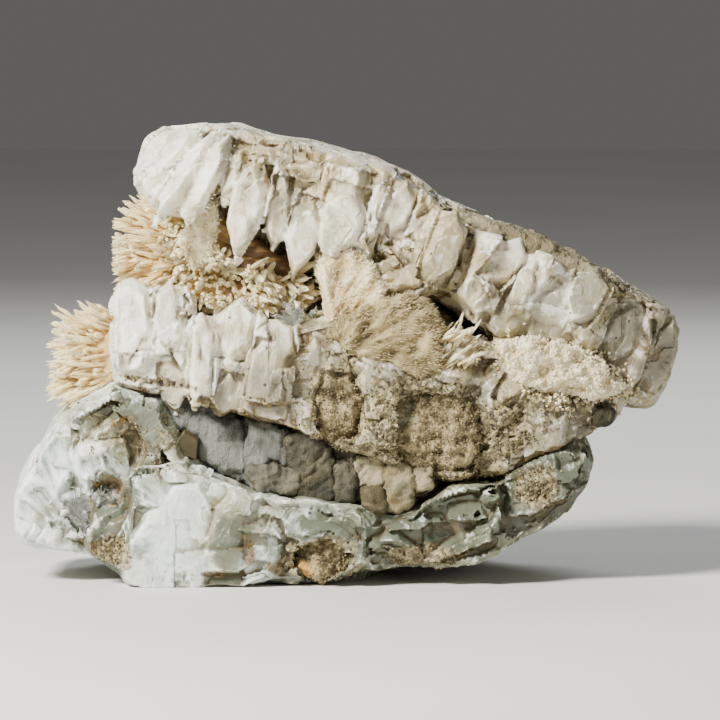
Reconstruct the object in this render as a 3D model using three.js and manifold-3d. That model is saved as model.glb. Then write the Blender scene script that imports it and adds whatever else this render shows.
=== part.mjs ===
// Celestine with calcite: a loose specimen of a layered vein, in millimetres, +Z up.
// The front of the specimen faces -Y. The origin is under its middle, on the surface it rests on.
import * as THREE from 'three';
import { ConvexGeometry } from 'three/addons/geometries/ConvexGeometry.js';
import { mergeVertices } from 'three/addons/utils/BufferGeometryUtils.js';
import Module from 'manifold-3d';

const wasm = await Module();
wasm.setup();

// Driving dimensions, in millimetres or as shares of a piece's own size.
const SPECIMEN_REACH = 120;
const CONTACT_GAP = 0.3;
const MERGE_DISTANCE = 1e-5;
const LUMP_BELT = 0.6;
const LUMP_INSET = 0.9;
const CORNER_GROWTH = 1.3;
const BACK_SLANT = 0.6;
const CROWN_DIP = 6;
const BLADE_FLAT = 0.62;
const BLADE_SHOULDER = 0.72;
const BLADE_SHOULDER_WIDTH = 0.95;
const CHISEL_CORNER = 0.16;
const CHISEL_LOW_CORNER = -0.2;
const CHISEL_DROP = 0.94;
const SPIKE_SIDES = 5;
const SPIKE_TAPER = 0.8;
const SPIKE_SHOULDER = 0.7;
const SPIKE_RADIUS = 1.7;
const FAN_SPIKE_RADIUS = 1.8;
const LEFT_SPIKES = 18;
const POCKET_SPIKES = 12;
const LOWER_SPIKES = 26;
const GREY_FLAKES = 4;

// Colours and finishes, by what each piece is.
const MATERIALS = {
  ivoryCelestine: { color: 0xd9d1bf, roughness: 0.35 },
  whiteCelestine: { color: 0xe3e6e2, roughness: 0.3 },
  clearCelestine: { color: 0xa9aca4, roughness: 0.15 },
  goldenCalcite: { color: 0xdcc796, roughness: 0.55 },
  creamCalcite: { color: 0xd9cfb2, roughness: 0.7 },
  amberCalcite: { color: 0x8a6a38, roughness: 0.3 },
  greyLimestone: { color: 0x7f827a, roughness: 0.85 },
  ochreLimestone: { color: 0xa99a70, roughness: 0.85 },
  brownCrust: { color: 0x786c4b, roughness: 0.95 },
};

// The outlines are drawn about the seam's middle, and this move centres the specimen's box.
const BOX_CENTRE = [0.51, 1.33];

const specimen = new THREE.Group();
specimen.name = 'celestine_with_calcite';
specimen.position.set(-BOX_CENTRE[0], -BOX_CENTRE[1], 0);

// Turns a closed geometry into a solid for joining and cutting.
function toSolid(geometry) {
  const bare = geometry.clone();
  bare.deleteAttribute('normal');
  bare.deleteAttribute('uv');
  const merged = mergeVertices(bare, MERGE_DISTANCE);
  const mesh = new wasm.Mesh({
    numProp: 3,
    vertProperties: new Float32Array(merged.attributes.position.array),
    triVerts: new Uint32Array(merged.index.array),
  });
  return new wasm.Manifold(mesh);
}

// Turns a solid back into a geometry with flat faces.
function toGeometry(solid) {
  const mesh = solid.getMesh();
  const geometry = new THREE.BufferGeometry();
  geometry.setAttribute('position', new THREE.BufferAttribute(new Float32Array(mesh.vertProperties), 3));
  geometry.setIndex(new THREE.BufferAttribute(new Uint32Array(mesh.triVerts), 1));
  geometry.computeVertexNormals();
  return geometry;
}

// The closed solid that wraps tightly round the points.
function hullOf(points) {
  return toSolid(new ConvexGeometry(points));
}

// A lump of rock or crystal: its outline seen from the front as [x, z] points, how far it reaches
// to the front and to the back, how it thins upwards (lean) and to the left (turn), and how far
// its back lies below its front (dip).
// With grow, the same lump is that much larger all round.
function lump(outline, front, back, { lean = 0, turn = 0, dip = 0, inset = LUMP_INSET } = {}) {
  const midX = outline.reduce((sum, [x]) => sum + x, 0) / outline.length;
  const midZ = outline.reduce((sum, [, z]) => sum + z, 0) / outline.length;
  const middle = (front - back) / 2;
  const halfDepth = (front + back) / 2;
  return (grow) => {
    const points = [];
    for (const [x, z] of outline) {
      const fromMid = new THREE.Vector2(x - midX, z - midZ);
      fromMid.setLength(fromMid.length() + grow * CORNER_GROWTH);
      const slant = lean * fromMid.y - turn * fromMid.x;
      const frontFace = -(middle + halfDepth + grow) + slant;
      const frontBelt = -(middle + halfDepth * LUMP_BELT + grow) + slant;
      const backBelt = -(middle - halfDepth * LUMP_BELT - grow) - slant * BACK_SLANT;
      const backFace = -(middle - halfDepth - grow) - slant * BACK_SLANT;
      points.push(new THREE.Vector3(midX + fromMid.x * inset, frontFace, midZ + fromMid.y * inset));
      points.push(new THREE.Vector3(midX + fromMid.x, frontBelt, midZ + fromMid.y));
      points.push(new THREE.Vector3(midX + fromMid.x, backBelt, midZ + fromMid.y - dip * LUMP_BELT));
      points.push(new THREE.Vector3(midX + fromMid.x * inset, backFace, midZ + fromMid.y * inset - dip));
    }
    return hullOf(points);
  };
}

// A flat crystal blade from its root to its tip, with a chisel end. Roll turns its flat side
// away from the viewer.
function blade(root, tip, width, thickness, roll = 0) {
  return (grow) => {
    const start = new THREE.Vector3(...root);
    const end = new THREE.Vector3(...tip);
    const along = end.clone().sub(start);
    const length = along.length() + grow;
    along.normalize();
    const side = new THREE.Vector3(0, 1, 0).cross(along).normalize().applyAxisAngle(along, roll);
    const flat = new THREE.Vector3().crossVectors(along, side);
    const points = [];
    const addPoint = (place, across, up) => {
      points.push(start.clone().addScaledVector(along, place)
        .addScaledVector(side, across).addScaledVector(flat, up));
    };
    const addRing = (place, scale) => {
      const halfWidth = (width / 2) * scale + grow;
      const halfThickness = (thickness / 2) * scale + grow;
      for (const sign of [1, -1]) {
        addPoint(place, sign * halfWidth, 0);
        addPoint(place, BLADE_FLAT * halfWidth, sign * halfThickness);
        addPoint(place, -BLADE_FLAT * halfWidth, sign * halfThickness);
      }
    };
    addRing(-grow, 1);
    addRing(length * BLADE_SHOULDER, BLADE_SHOULDER_WIDTH);
    addPoint(length, width * CHISEL_CORNER, 0);
    addPoint(length * CHISEL_DROP, width * CHISEL_LOW_CORNER, 0);
    return hullOf(points);
  };
}

// A blunt calcite spike.
function spike(root, tip, radius) {
  return (grow) => {
    const start = new THREE.Vector3(...root);
    const along = new THREE.Vector3(...tip).sub(start);
    const length = along.length() + grow;
    const profile = [
      new THREE.Vector2(0, 0),
      new THREE.Vector2(radius + grow, 0),
      new THREE.Vector2((radius + grow) * SPIKE_TAPER, length * SPIKE_SHOULDER),
      new THREE.Vector2(0, length),
    ];
    const geometry = new THREE.LatheGeometry(profile, SPIKE_SIDES);
    const turned = new THREE.Quaternion().setFromUnitVectors(new THREE.Vector3(0, 1, 0), along.normalize());
    geometry.applyQuaternion(turned);
    geometry.translate(...root);
    return toSolid(geometry);
  };
}

// Everything between two seams that run through the specimen from front to back, each a line
// of [x, z] points from left to right.
function layer(lowerSeam, upperSeam) {
  const shape = new THREE.Shape();
  const floorPoints = lowerSeam.map(([x, z]) => new THREE.Vector2(x, z + CONTACT_GAP));
  const roofPoints = upperSeam.map(([x, z]) => new THREE.Vector2(x, z - CONTACT_GAP)).reverse();
  shape.setFromPoints([...floorPoints, ...roofPoints]);
  const geometry = new THREE.ExtrudeGeometry(shape, { depth: SPECIMEN_REACH, bevelEnabled: false });
  geometry.rotateX(Math.PI / 2);
  geometry.translate(0, SPECIMEN_REACH / 2, 0);
  return toSolid(geometry);
}

// All parts of a piece as one solid.
function joined(parts, grow = 0) {
  return parts.map((part) => part(grow)).reduce((whole, next) => whole.add(next));
}

// A solid with its neighbours' shapes cut out of it, a contact gap larger all round.
function cutClear(solid, ...neighbours) {
  return neighbours.reduce((rest, parts) => rest.subtract(joined(parts, CONTACT_GAP)), solid);
}

// The numbers from 0 to 1 in even steps but in a mixed order, so that neighbours differ.
function mixedStep(i, stride, count) {
  return ((i * stride) % count) / (count - 1);
}

function place(name, solid, look) {
  const material = new THREE.MeshStandardMaterial({ metalness: 0, ...MATERIALS[look] });
  const mesh = new THREE.Mesh(toGeometry(solid), material);
  mesh.name = name;
  specimen.add(mesh);
}

// The seams. The cleft runs under the middle celestine, and the limestone parting lies in it.
const REST_SEAM = [[-SPECIMEN_REACH, -CONTACT_GAP], [SPECIMEN_REACH, -CONTACT_GAP]];
const ROOF_SEAM = [[-SPECIMEN_REACH, 2 * SPECIMEN_REACH], [SPECIMEN_REACH, 2 * SPECIMEN_REACH]];
const CLEFT_SEAM = [
  [-94, 53.5], [-61.5, 53.5], [-52, 52.5], [-40, 48.5], [-28.5, 45.5], [-16, 43],
  [-11.5, 39.5], [-2, 36.5], [6.5, 35.5], [15.5, 31], [29, 26.5], [41.5, 28.5], [62, 39],
  [100.5, 49],
];
const PARTING_FLOOR = [
  [-94, 52.8], [-61.5, 52.8], [-49, 49.5], [-46, 42], [-39.5, 33], [-26, 25], [-13, 22.5],
  [6, 20], [17, 19], [25, 23.5], [29, 25.8], [41.5, 27.8], [62, 38.3], [100.5, 48.3],
];

// Small pieces first: each is bedded in the celestine or limestone around it.

// Golden spikes in the upper pocket, on a core that fills its floor and back.
const upperCluster = [
  lump([
    [-53.5, 97.5], [-45.5, 100.5], [-30.5, 95], [-13, 83], [-11.5, 72.5], [-29, 72.5],
    [-46.5, 76], [-56, 83],
  ], 12, -2),
];
// The row of spikes at the left edge points out of the pocket. Its middle reaches furthest.
for (let i = 0; i < LEFT_SPIKES; i += 1) {
  const level = mixedStep(i, 7, LEFT_SPIKES);
  const y = THREE.MathUtils.lerp(-11, 1, mixedStep(i, 5, LEFT_SPIKES));
  const offMiddle = 2 * level - 1;
  const root = [-51, y, THREE.MathUtils.lerp(81, 93, level)];
  const tip = [
    THREE.MathUtils.lerp(-61.5, -55, offMiddle ** 2) + Math.sin(i * 2.1), y - 2,
    THREE.MathUtils.lerp(78, 98, level),
  ];
  upperCluster.push(spike(root, tip, SPIKE_RADIUS));
}
// The spikes on the pocket's back point at the viewer.
for (let i = 0; i < POCKET_SPIKES; i += 1) {
  const across = mixedStep(i, 5, POCKET_SPIKES);
  const x = THREE.MathUtils.lerp(-47, -19, across);
  const z = THREE.MathUtils.lerp(89, 80, across) + 3 * Math.sin(i * 2.4);
  const tip = [x - 3 + 4 * Math.sin(i * 1.7), -17 - 2 * Math.sin(i), z + 4 * Math.cos(i * 1.9)];
  upperCluster.push(spike([x, -10, z], tip, SPIKE_RADIUS));
}

// A pale kite-shaped sheet of calcite that stands on the cluster with one corner up.
const calciteFlake = [
  lump([[-35.5, 102], [-45.5, 90.5], [-41, 82.5], [-36, 87], [-35, 96.5]], 18, -15),
];

// Two small clear crystals on the pocket's floor, grown together.
const pocketCrystals = [
  lump([[-17.5, 68], [-16.5, 72], [-13, 73.5], [-11, 70.5], [-11.5, 68]], 24, -14),
  lump([[-15, 68], [-11.5, 72], [-8.5, 68]], 22, -12),
];

// Golden spikes that point left, under the middle band.
const lowerCluster = [
  lump([[-68, 63], [-62, 70], [-61.5, 53], [-68, 49], [-71, 55]], 16, 12),
];
for (let i = 0; i < LOWER_SPIKES; i += 1) {
  const level = mixedStep(i, 9, LOWER_SPIKES);
  const y = THREE.MathUtils.lerp(10, -13, mixedStep(i, 5, LOWER_SPIKES));
  const root = [-65, y, THREE.MathUtils.lerp(51.5, 65.5, level)];
  const tip = [
    THREE.MathUtils.lerp(-79.5, -70.5, level ** 2) - Math.sin(i * 2.3), y * 1.25,
    THREE.MathUtils.lerp(47, 69, level),
  ];
  lowerCluster.push(spike(root, tip, FAN_SPIKE_RADIUS));
}

// The sheaf of fibres right of the upper pocket. It narrows to one root at its lower left.
const calciteSheaf = [
  lump([[-4.5, 69], [-8, 86], [-1, 90], [4.5, 86], [9.5, 78.5], [9.5, 75]], 30, -10, { lean: 0.1 }),
];

// The second fan, with spikes that reach into the right pocket.
const calciteFan = [
  lump([
    [-6, 67], [-1, 71.5], [9.5, 75], [17.5, 76.5], [21.5, 73], [24.5, 65.5], [25, 57],
    [19, 55.5], [8.5, 58], [-1, 62],
  ], 36, -14, { inset: 0.85 }),
];
const FAN_ORIGIN = [12, -28, 62];
const FAN_TIPS = [
  [22, 75], [22.5, 71], [26.5, 69.5], [26.5, 66.5], [31.5, 63], [24.5, 62.5], [32, 59.5],
  [32.5, 56.5],
];
FAN_TIPS.forEach(([x, z], i) => {
  calciteFan.push(spike(FAN_ORIGIN, [x, -31 + 2 * Math.sin(i * 2), z], FAN_SPIKE_RADIUS));
});

// The rough cream seam between the walls at the right.
const creamCrust = [
  lump([
    [39.5, 63.5], [48, 65], [57, 63.5], [68, 58], [74, 51.5], [68, 49], [54.5, 50.5],
    [43.5, 54],
  ], 27, -8, { turn: -0.25 }),
];

// A knob of limestone held in the underside of the right end.
const rockKnob = [
  lump([[63.5, 41], [65.5, 46], [69, 47], [71.5, 45], [70.5, 41.5], [67, 41]], 22, -4),
];

// The skin of limestone along the top right edge, from front to back.
const topRind = [
  lump([
    [26.5, 99], [35.5, 96.5], [49, 92.5], [66, 84], [75.5, 75.5], [73, 75], [57, 83.5],
    [35.5, 93],
  ], 20, 38, { dip: CROWN_DIP }),
];

// Two patches of brown granular crust, bedded in the face of the lower wall.
const brownCrusts = [
  [lump([
    [-8, 57], [0.5, 57.5], [4, 50.5], [4, 39.5], [-5, 38.5], [-9.5, 42.5],
  ], 37, -26)],
  [lump([
    [6.5, 49], [19.5, 52], [33, 49.5], [35.5, 41], [33, 30.5], [22, 31], [12.5, 34.5],
    [7.5, 41],
  ], 35, -24)],
];

// A flat iron-stained crystal at the left of the cleft.
const amberCrystal = [
  lump([[-46, 38], [-43.5, 41.5], [-39.5, 39], [-40, 33], [-43.5, 34]], 32, -20),
];

// Shell-shaped scales broken out of the limestone in the cleft, grey at the left and ochre at the
// right.
const limestoneFlakes = [
  [lump([[-16.5, 39], [-11.5, 40], [-5, 36.5], [-4.5, 29.5], [-13, 29], [-16, 32.5]], 33, -20)],
  [lump([[-26, 30.5], [-19.5, 31.5], [-13, 29], [-14, 25], [-23, 25]], 34, -22)],
  [lump([[-13, 29], [-4.5, 29.5], [-4, 23], [-13, 22.5]], 33, -22)],
  [lump([[-3, 31.5], [-0.5, 32], [2, 28], [1, 22.5], [-2.5, 22.5]], 34, -22)],
  [lump([[2.5, 34], [7.5, 34], [9, 30.5], [8, 26], [2.8, 26.5]], 33, -20)],
  [lump([[4.5, 25], [9, 25.5], [9, 20.5], [5, 20.5]], 36, -22)],
  [lump([[9.5, 30.5], [14, 33], [17, 29], [16.5, 20], [10.5, 20]], 34, -22)],
  [lump([[17.5, 30], [21.5, 31], [22.5, 26], [19.5, 25], [17, 25.5]], 33, -20)],
];

// Clear grey crystals in the hollow at the left of the base mass.
const cavityCrystals = [
  lump([[-76.5, 22], [-67, 24], [-56, 22], [-57.5, 12.5], [-69.5, 12]], 32, -18),
];

// The brown granular patch at the lower front edge.
const baseCrust = [
  lump([[-14, 11.5], [-5, 14.5], [1.5, 10], [0, 3.5], [-9.5, 2], [-14, 3.5]], 39, -28),
];

// The right pocket, an open hollow between the walls of the vein.
const rightPocket = [
  lump([[16.5, 77], [21.5, 77], [31.5, 71.5], [30, 65.5], [25, 66], [20, 69]], 60, -8),
];

// Upper wall of the vein.
const upperWall = [
  lump([
    [-56.5, 108.5], [-54.5, 117.5], [-49.5, 122], [-41, 122.5], [-29.5, 123], [-28, 115],
    [-32.5, 104], [-41, 97.5], [-51, 99.5],
  ], 20, 20, { dip: CROWN_DIP, lean: 0.2 }),
  lump([
    [-36, 122.5], [-28, 121.5], [-17.5, 118.5], [-7, 116], [-7, 102.5], [-17, 97.5],
    [-32, 103.5],
  ], 24, 30, { dip: CROWN_DIP, lean: 0.3 }),
  lump([
    [-17.5, 118.5], [-5, 116], [11.5, 110], [13.5, 97], [4.5, 87.5], [-7, 91.5],
    [-17, 99.5],
  ], 26, 38, { dip: CROWN_DIP, lean: 0.25 }),
  lump([
    [2.5, 114], [19, 106], [27, 99], [28, 82], [21.5, 75.5], [10, 74], [2.5, 84.5],
  ], 25, 41, { dip: CROWN_DIP, lean: 0.15, turn: -0.1 }),
  lump([
    [23, 101], [35, 96.5], [48.5, 92.5], [49, 77], [41, 64], [31.5, 70], [21.5, 76.5],
  ], 22, 42, { dip: CROWN_DIP, lean: 0.15 }),
  lump([
    [42.5, 92], [57, 87.5], [66, 83], [68.5, 74], [64, 60], [52, 56.5], [41, 61],
    [38.5, 77],
  ], 21, 37, { dip: CROWN_DIP, lean: 0.1 }),
  lump([
    [57, 88.5], [70, 82], [75.5, 76], [79.5, 73], [79, 58], [73, 49.5], [60.5, 54],
    [58, 74],
  ], 16, 31, { dip: CROWN_DIP, turn: -0.2 }),
  lump([
    [70, 80.5], [78.5, 73], [85, 70], [89.5, 70], [90.5, 64], [86.5, 54.5], [83, 48],
    [76.5, 48], [71.5, 50], [70, 68.5],
  ], 9, 22, { dip: CROWN_DIP, turn: -0.2 }),
  lump([[-46, 104], [8, 104], [12, 74], [8, 60], [-40, 60], [-49, 80]], -3, 35, { dip: CROWN_DIP }),
  lump([[-26, 110], [4, 108], [14, 88], [-4, 78], [-24, 86]], -15, 41, { dip: CROWN_DIP }),
  lump([[28, 92], [50, 86], [58, 68], [40, 58], [24, 70]], -15, 42, { dip: CROWN_DIP }),
  lump([
    [12, 92], [45, 88], [70, 72], [74, 52], [56, 52], [36, 58], [12, 68],
  ], -7, 38, { dip: CROWN_DIP }),
  blade([-55.5, -18, 107.5], [-47.5, -14, 122], 6, 5, 0.4),
  blade([-53, -21, 103.5], [-41, -17, 122.5], 6, 5, 0.3),
  blade([-50, -24, 101], [-33, -20, 122], 6.5, 5, 0.3),
  blade([-43, -25, 96.5], [-34, -22, 119.5], 5.5, 4, 0.8),
  blade([-23, -22, 116], [-30, -27, 87.5], 8, 5, 0.3),
  blade([-18, -22, 105], [-19, -24, 89], 5.5, 4, -0.2),
  blade([-9.5, -24, 102.5], [-14.5, -28, 85], 7.5, 5, 0.2),
  blade([-1, -26, 111], [-4, -29, 86.5], 11, 5, 0.1),
  blade([27, -24, 98.5], [22, -27, 78], 8, 6, 0.3),
  blade([39, -22, 91.5], [32.5, -25, 73], 8, 6, -0.2),
  blade([53, -20, 85.5], [42.5, -25, 66], 9, 6, 0.5),
  blade([62.5, -18, 82.5], [53, -23, 62], 8, 6, 0.4),
  blade([69.5, -14, 77.5], [63, -19, 61], 7, 6, -0.3),
  blade([75.5, -10, 74], [70.5, -15, 57.5], 6.5, 6, 0.4),
  blade([79.5, -7, 71], [75.5, -12, 51], 6, 6, 0.5),
  blade([84, -4, 69.5], [80, -9, 49.5], 6, 5, 0.5),
  blade([88.5, 0, 68.5], [84, -5, 51], 5.5, 5, 0.5),
];

// Lower wall of the vein.
const middleWall = [
  lump([
    [-62, 53.5], [-62, 68], [-36, 68], [-35.5, 47.5], [-40, 48.5], [-52, 52.5],
  ], 32, 28, { lean: 0.1 }),
  lump([[-40, 68], [-13, 68], [-12.5, 40], [-28.5, 45.5], [-40, 48.5]], 35, 37, { lean: 0.1 }),
  lump([
    [-15.5, 68], [-4.5, 69], [9.5, 75], [14.5, 68], [14.5, 31.5], [-2, 36.5], [-13, 40],
  ], 35, 41, { lean: 0.1 }),
  lump([
    [9.5, 75], [17, 76], [21, 66.5], [31.5, 65.5], [33.5, 27], [29, 26.5], [12.5, 32],
  ], 32, 41, { lean: 0.1 }),
  lump([[30, 65.5], [41, 62.5], [58, 55.5], [58, 36.5], [41.5, 28.5], [31, 26]], 28, 39),
  lump([
    [53, 57], [74, 49], [72, 45], [70.5, 41], [65.5, 40.5], [62, 38], [53, 33.5],
  ], 20, 30, { turn: -0.2 }),
  lump([[-48, 62], [-24, 67], [-14, 52], [-30, 46], [-48, 52]], -10, 39),
  blade([-57.5, -33, 58], [-58, -28, 82.5], 8.5, 5),
  blade([-46.5, -33, 62.5], [-47, -29, 79.5], 14, 5),
  blade([-39, -36, 50], [-38, -35, 74], 6.5, 5),
  blade([-30, -34, 62], [-28.5, -31, 76], 12, 5),
  blade([-22, -37, 49.5], [-20.5, -33, 71.5], 12, 5),
];

// The mass that everything stands on.
const baseMass = [
  lump([
    [-90, 20.5], [-86.5, 27], [-79, 37], [-75.5, 44], [-67.5, 48], [-63.5, 27], [-67, 7.5],
    [-78, 10.5], [-87, 10.5], [-89, 14],
  ], 26, 20),
  lump([
    [-73, 47], [-61, 53], [-49, 50], [-42.5, 32.5], [-51, 9.5], [-59.5, 2.5], [-69.5, 7.5],
  ], 33, 30),
  lump([[-57.5, 30.5], [-39.5, 33.5], [-25.5, 25], [-26, -2], [-44.5, -3], [-59.5, 1]], 41, 35),
  lump([[-31.5, 27], [-13, 22.5], [6.5, 20], [4, 4], [-3.5, 1.5], [-14.5, 1.5], [-30.5, 1]], 39, 38),
  lump([[0.5, 20], [17, 19], [29, 26], [42, 28.5], [42, 9], [29, 4.5], [14, 4.5], [0.5, 4]], 34, 41),
  lump([
    [35, 27], [62, 37.5], [64.5, 32.5], [63.5, 29], [59, 21], [55, 18], [50, 13.5],
    [37.5, 7.5],
  ], 28, 34),
  lump([[-48, 28], [-20, 22], [-8, 8], [-30, -2], [-50, -2]], -10, 41),
  lump([[-84, 26], [-70, 36], [-56, 28], [-60, 10], [-80, 12]], -4, 26, { turn: 0.2 }),
  lump([[-31, 10], [6, 10], [6, -3], [-31, -3]], 20, 36),
  lump([[0, 12], [24, 12], [20, -3], [0, -3]], -8, 38),
];

// The wedge of limestone in the cleft.
const parting = [
  lump([
    [-61.5, 53.5], [-49, 50.5], [-28.5, 45], [-24, 24.5], [-39.5, 33], [-46, 41.5],
  ], 27, 36),
  lump([
    [-28.5, 45.5], [-2, 36.5], [25, 27.5], [25, 24.5], [17, 19], [-13, 22], [-29, 25],
  ], 29, 38),
];

const middle = cutClear(
  joined(middleWall).intersect(layer(CLEFT_SEAM, ROOF_SEAM)),
  calciteSheaf, calciteFan, creamCrust, rockKnob, brownCrusts[0], brownCrusts[1],
  upperCluster, lowerCluster, pocketCrystals, rightPocket, ...limestoneFlakes,
);
const upper = cutClear(
  joined(upperWall),
  middleWall, topRind, calciteSheaf, calciteFan, creamCrust, rockKnob,
  upperCluster, calciteFlake, pocketCrystals, rightPocket,
);
const lower = cutClear(
  joined(baseMass).intersect(layer(REST_SEAM, PARTING_FLOOR)),
  lowerCluster, rockKnob, amberCrystal, ...limestoneFlakes, cavityCrystals, baseCrust,
);
const limestone = cutClear(
  joined(parting).intersect(layer(PARTING_FLOOR, CLEFT_SEAM)),
  amberCrystal, ...limestoneFlakes,
);

place('upper_celestine', upper, 'ivoryCelestine');
place('middle_celestine', middle, 'whiteCelestine');
place('lower_celestine', lower, 'whiteCelestine');
place('limestone_parting', limestone, 'greyLimestone');
limestoneFlakes.forEach((parts, i) => {
  place(`limestone_flake_${i + 1}`, joined(parts), i < GREY_FLAKES ? 'greyLimestone' : 'ochreLimestone');
});
place('top_rind', joined(topRind), 'ochreLimestone');
place('rock_knob', joined(rockKnob), 'greyLimestone');
brownCrusts.forEach((parts, i) => place(`brown_crust_${i + 1}`, joined(parts), 'brownCrust'));
place('upper_calcite_cluster', cutClear(joined(upperCluster), calciteFlake), 'goldenCalcite');
place('calcite_flake', joined(calciteFlake), 'creamCalcite');
place('calcite_sheaf', cutClear(joined(calciteSheaf), calciteFan, upperCluster), 'creamCalcite');
place('calcite_fan', joined(calciteFan), 'creamCalcite');
place('cream_calcite_crust', joined(creamCrust), 'creamCalcite');
place('lower_calcite_cluster', joined(lowerCluster), 'goldenCalcite');
place('pocket_crystals', joined(pocketCrystals), 'clearCelestine');
place('amber_crystal', joined(amberCrystal), 'amberCalcite');
place('cavity_crystals', joined(cavityCrystals), 'clearCelestine');
place('base_crust', joined(baseCrust), 'brownCrust');

export default specimen;
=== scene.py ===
import math

import bpy
import numpy as np
from mathutils import Matrix, Vector

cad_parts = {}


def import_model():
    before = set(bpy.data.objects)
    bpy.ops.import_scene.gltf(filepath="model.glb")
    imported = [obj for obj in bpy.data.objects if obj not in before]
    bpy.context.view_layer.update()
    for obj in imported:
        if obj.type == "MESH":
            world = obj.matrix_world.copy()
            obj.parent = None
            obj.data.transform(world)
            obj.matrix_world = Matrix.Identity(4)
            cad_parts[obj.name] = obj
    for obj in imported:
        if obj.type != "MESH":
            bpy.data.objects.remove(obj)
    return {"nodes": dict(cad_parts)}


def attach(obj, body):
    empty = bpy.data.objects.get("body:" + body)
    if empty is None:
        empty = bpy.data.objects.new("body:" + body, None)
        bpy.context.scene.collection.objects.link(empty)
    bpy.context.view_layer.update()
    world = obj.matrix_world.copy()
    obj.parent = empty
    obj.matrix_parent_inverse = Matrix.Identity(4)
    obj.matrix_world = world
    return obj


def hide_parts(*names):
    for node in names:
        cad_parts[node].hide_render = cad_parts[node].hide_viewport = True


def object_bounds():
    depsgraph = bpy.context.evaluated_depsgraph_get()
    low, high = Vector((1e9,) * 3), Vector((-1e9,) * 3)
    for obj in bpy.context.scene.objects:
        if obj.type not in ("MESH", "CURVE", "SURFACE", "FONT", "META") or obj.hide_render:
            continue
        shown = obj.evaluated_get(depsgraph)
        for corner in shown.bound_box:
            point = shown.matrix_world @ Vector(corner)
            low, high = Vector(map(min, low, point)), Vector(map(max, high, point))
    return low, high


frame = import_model()
cad_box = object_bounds()


# Upper celestine: the upper wall of the vein. Coarse tabular crystals grew side by side from the
# limestone on top, fan out at the left end and hang free over the open pocket. It is one piece.

MM = 0.001
SOLID_GRAIN = 0.9 * MM                              # voxels of a solid's first, coarse skin
WALL_GRAIN = 0.5 * MM                               # voxels of a wall's last skin
WALL_TRIANGLES = 180000
FACET_ANGLE = 16                                    # degrees past which an edge stays sharp
RELIEF_PULL = np.array([0.45, 1.0, 0.45])           # relief stands out mostly to the front
BLADE_DEPTH = 4 * MM
FAR_BELOW = -9.0                                    # height of a plate past its own reach
EDGE, RIM, CRACK = 0.35 * MM, 1.3 * MM, 0.4 * MM    # widths along a plate's outline


def pick(*pieces):
    """Selects these pieces and nothing else, the last one active."""
    bpy.ops.object.select_all(action="DESELECT")
    for piece in pieces:
        piece.select_set(True)
    bpy.context.view_layer.objects.active = pieces[-1]


def take_solid(node, name):
    """A copy of a node's solid as a new piece, with its loose triangles merged."""
    piece = bpy.data.objects.new(name, frame["nodes"][node].data.copy())
    bpy.context.scene.collection.objects.link(piece)
    piece.data.materials.clear()
    pick(piece)
    bpy.ops.object.mode_set(mode="EDIT")
    bpy.ops.mesh.select_all(action="SELECT")
    bpy.ops.mesh.remove_doubles(threshold=0.001 * MM)
    bpy.ops.object.mode_set(mode="OBJECT")
    return piece


def shape(piece, kind, **settings):
    """Adds one modifier to a piece and applies it."""
    pick(piece)
    modifier = piece.modifiers.new(kind.title(), kind)
    for key, value in settings.items():
        setattr(modifier, key, value)
    bpy.ops.object.modifier_apply(modifier=modifier.name)


def weather(piece, grain, rounds=3, swell=0.0, closing=0.0):
    """Rounds a solid's hard edges off: an even skin of squares, relaxed, then a finer skin. closing
    fills narrow creases: the skin is pushed out until they meet, and then back. swell pushes it out
    for good, so that it closes on its neighbours."""
    shape(piece, "REMESH", mode="VOXEL", voxel_size=SOLID_GRAIN)
    if closing:
        shape(piece, "DISPLACE", strength=closing, mid_level=0.0)
        shape(piece, "REMESH", mode="VOXEL", voxel_size=SOLID_GRAIN)
        shape(piece, "SMOOTH", factor=0.5, iterations=2)
        shape(piece, "DISPLACE", strength=-closing, mid_level=0.0)
    shape(piece, "SMOOTH", factor=0.5, iterations=rounds)
    if swell:
        shape(piece, "DISPLACE", strength=swell, mid_level=0.0)
    shape(piece, "REMESH", mode="VOXEL", voxel_size=grain)
    shape(piece, "SMOOTH", factor=0.5, iterations=2)


def surface(piece):
    """The points of a piece and the normals there."""
    mesh = piece.data
    points = np.zeros(len(mesh.vertices) * 3)
    normals = np.zeros(len(mesh.vertices) * 3)
    mesh.vertices.foreach_get("co", points)
    mesh.vertex_normals.foreach_get("vector", normals)
    return points.reshape(-1, 3), normals.reshape(-1, 3)


def move(piece, points):
    """Gives a piece new points, kept inside the specimen's own size. Near the top and the sides the
    relief is pressed flatter instead of being cut off."""
    low, high, room = np.array(cad_box[0]), np.array(cad_box[1]), 2 * MM
    over = np.maximum(points - (high - room), 0)
    under = np.maximum(low + room - points, 0) * (1, 1, 0)
    points = (points - over + room * (1 - np.exp(-over / room))
              + under - room * (1 - np.exp(-under / room)))
    inside = np.clip(points, low + 0.02 * MM, high - 0.02 * MM)
    piece.data.vertices.foreach_set("co", inside.ravel())
    piece.data.update()


def record(piece, **values):
    """Keeps numbers or directions for each point of a piece, under the names that its material
    reads. A single number is kept for all points."""
    for name, numbers in values.items():
        numbers = np.full(len(piece.data.vertices), numbers) if np.isscalar(numbers) else numbers
        kind, key = ("FLOAT", "value") if numbers.ndim == 1 else ("FLOAT_VECTOR", "vector")
        layer = piece.data.attributes.new(name, kind, "POINT")
        layer.data.foreach_set(key, numbers.ravel().astype(np.float32))


def unit(vectors):
    return vectors / np.maximum(np.linalg.norm(vectors, axis=-1, keepdims=True), 1e-9)


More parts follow.
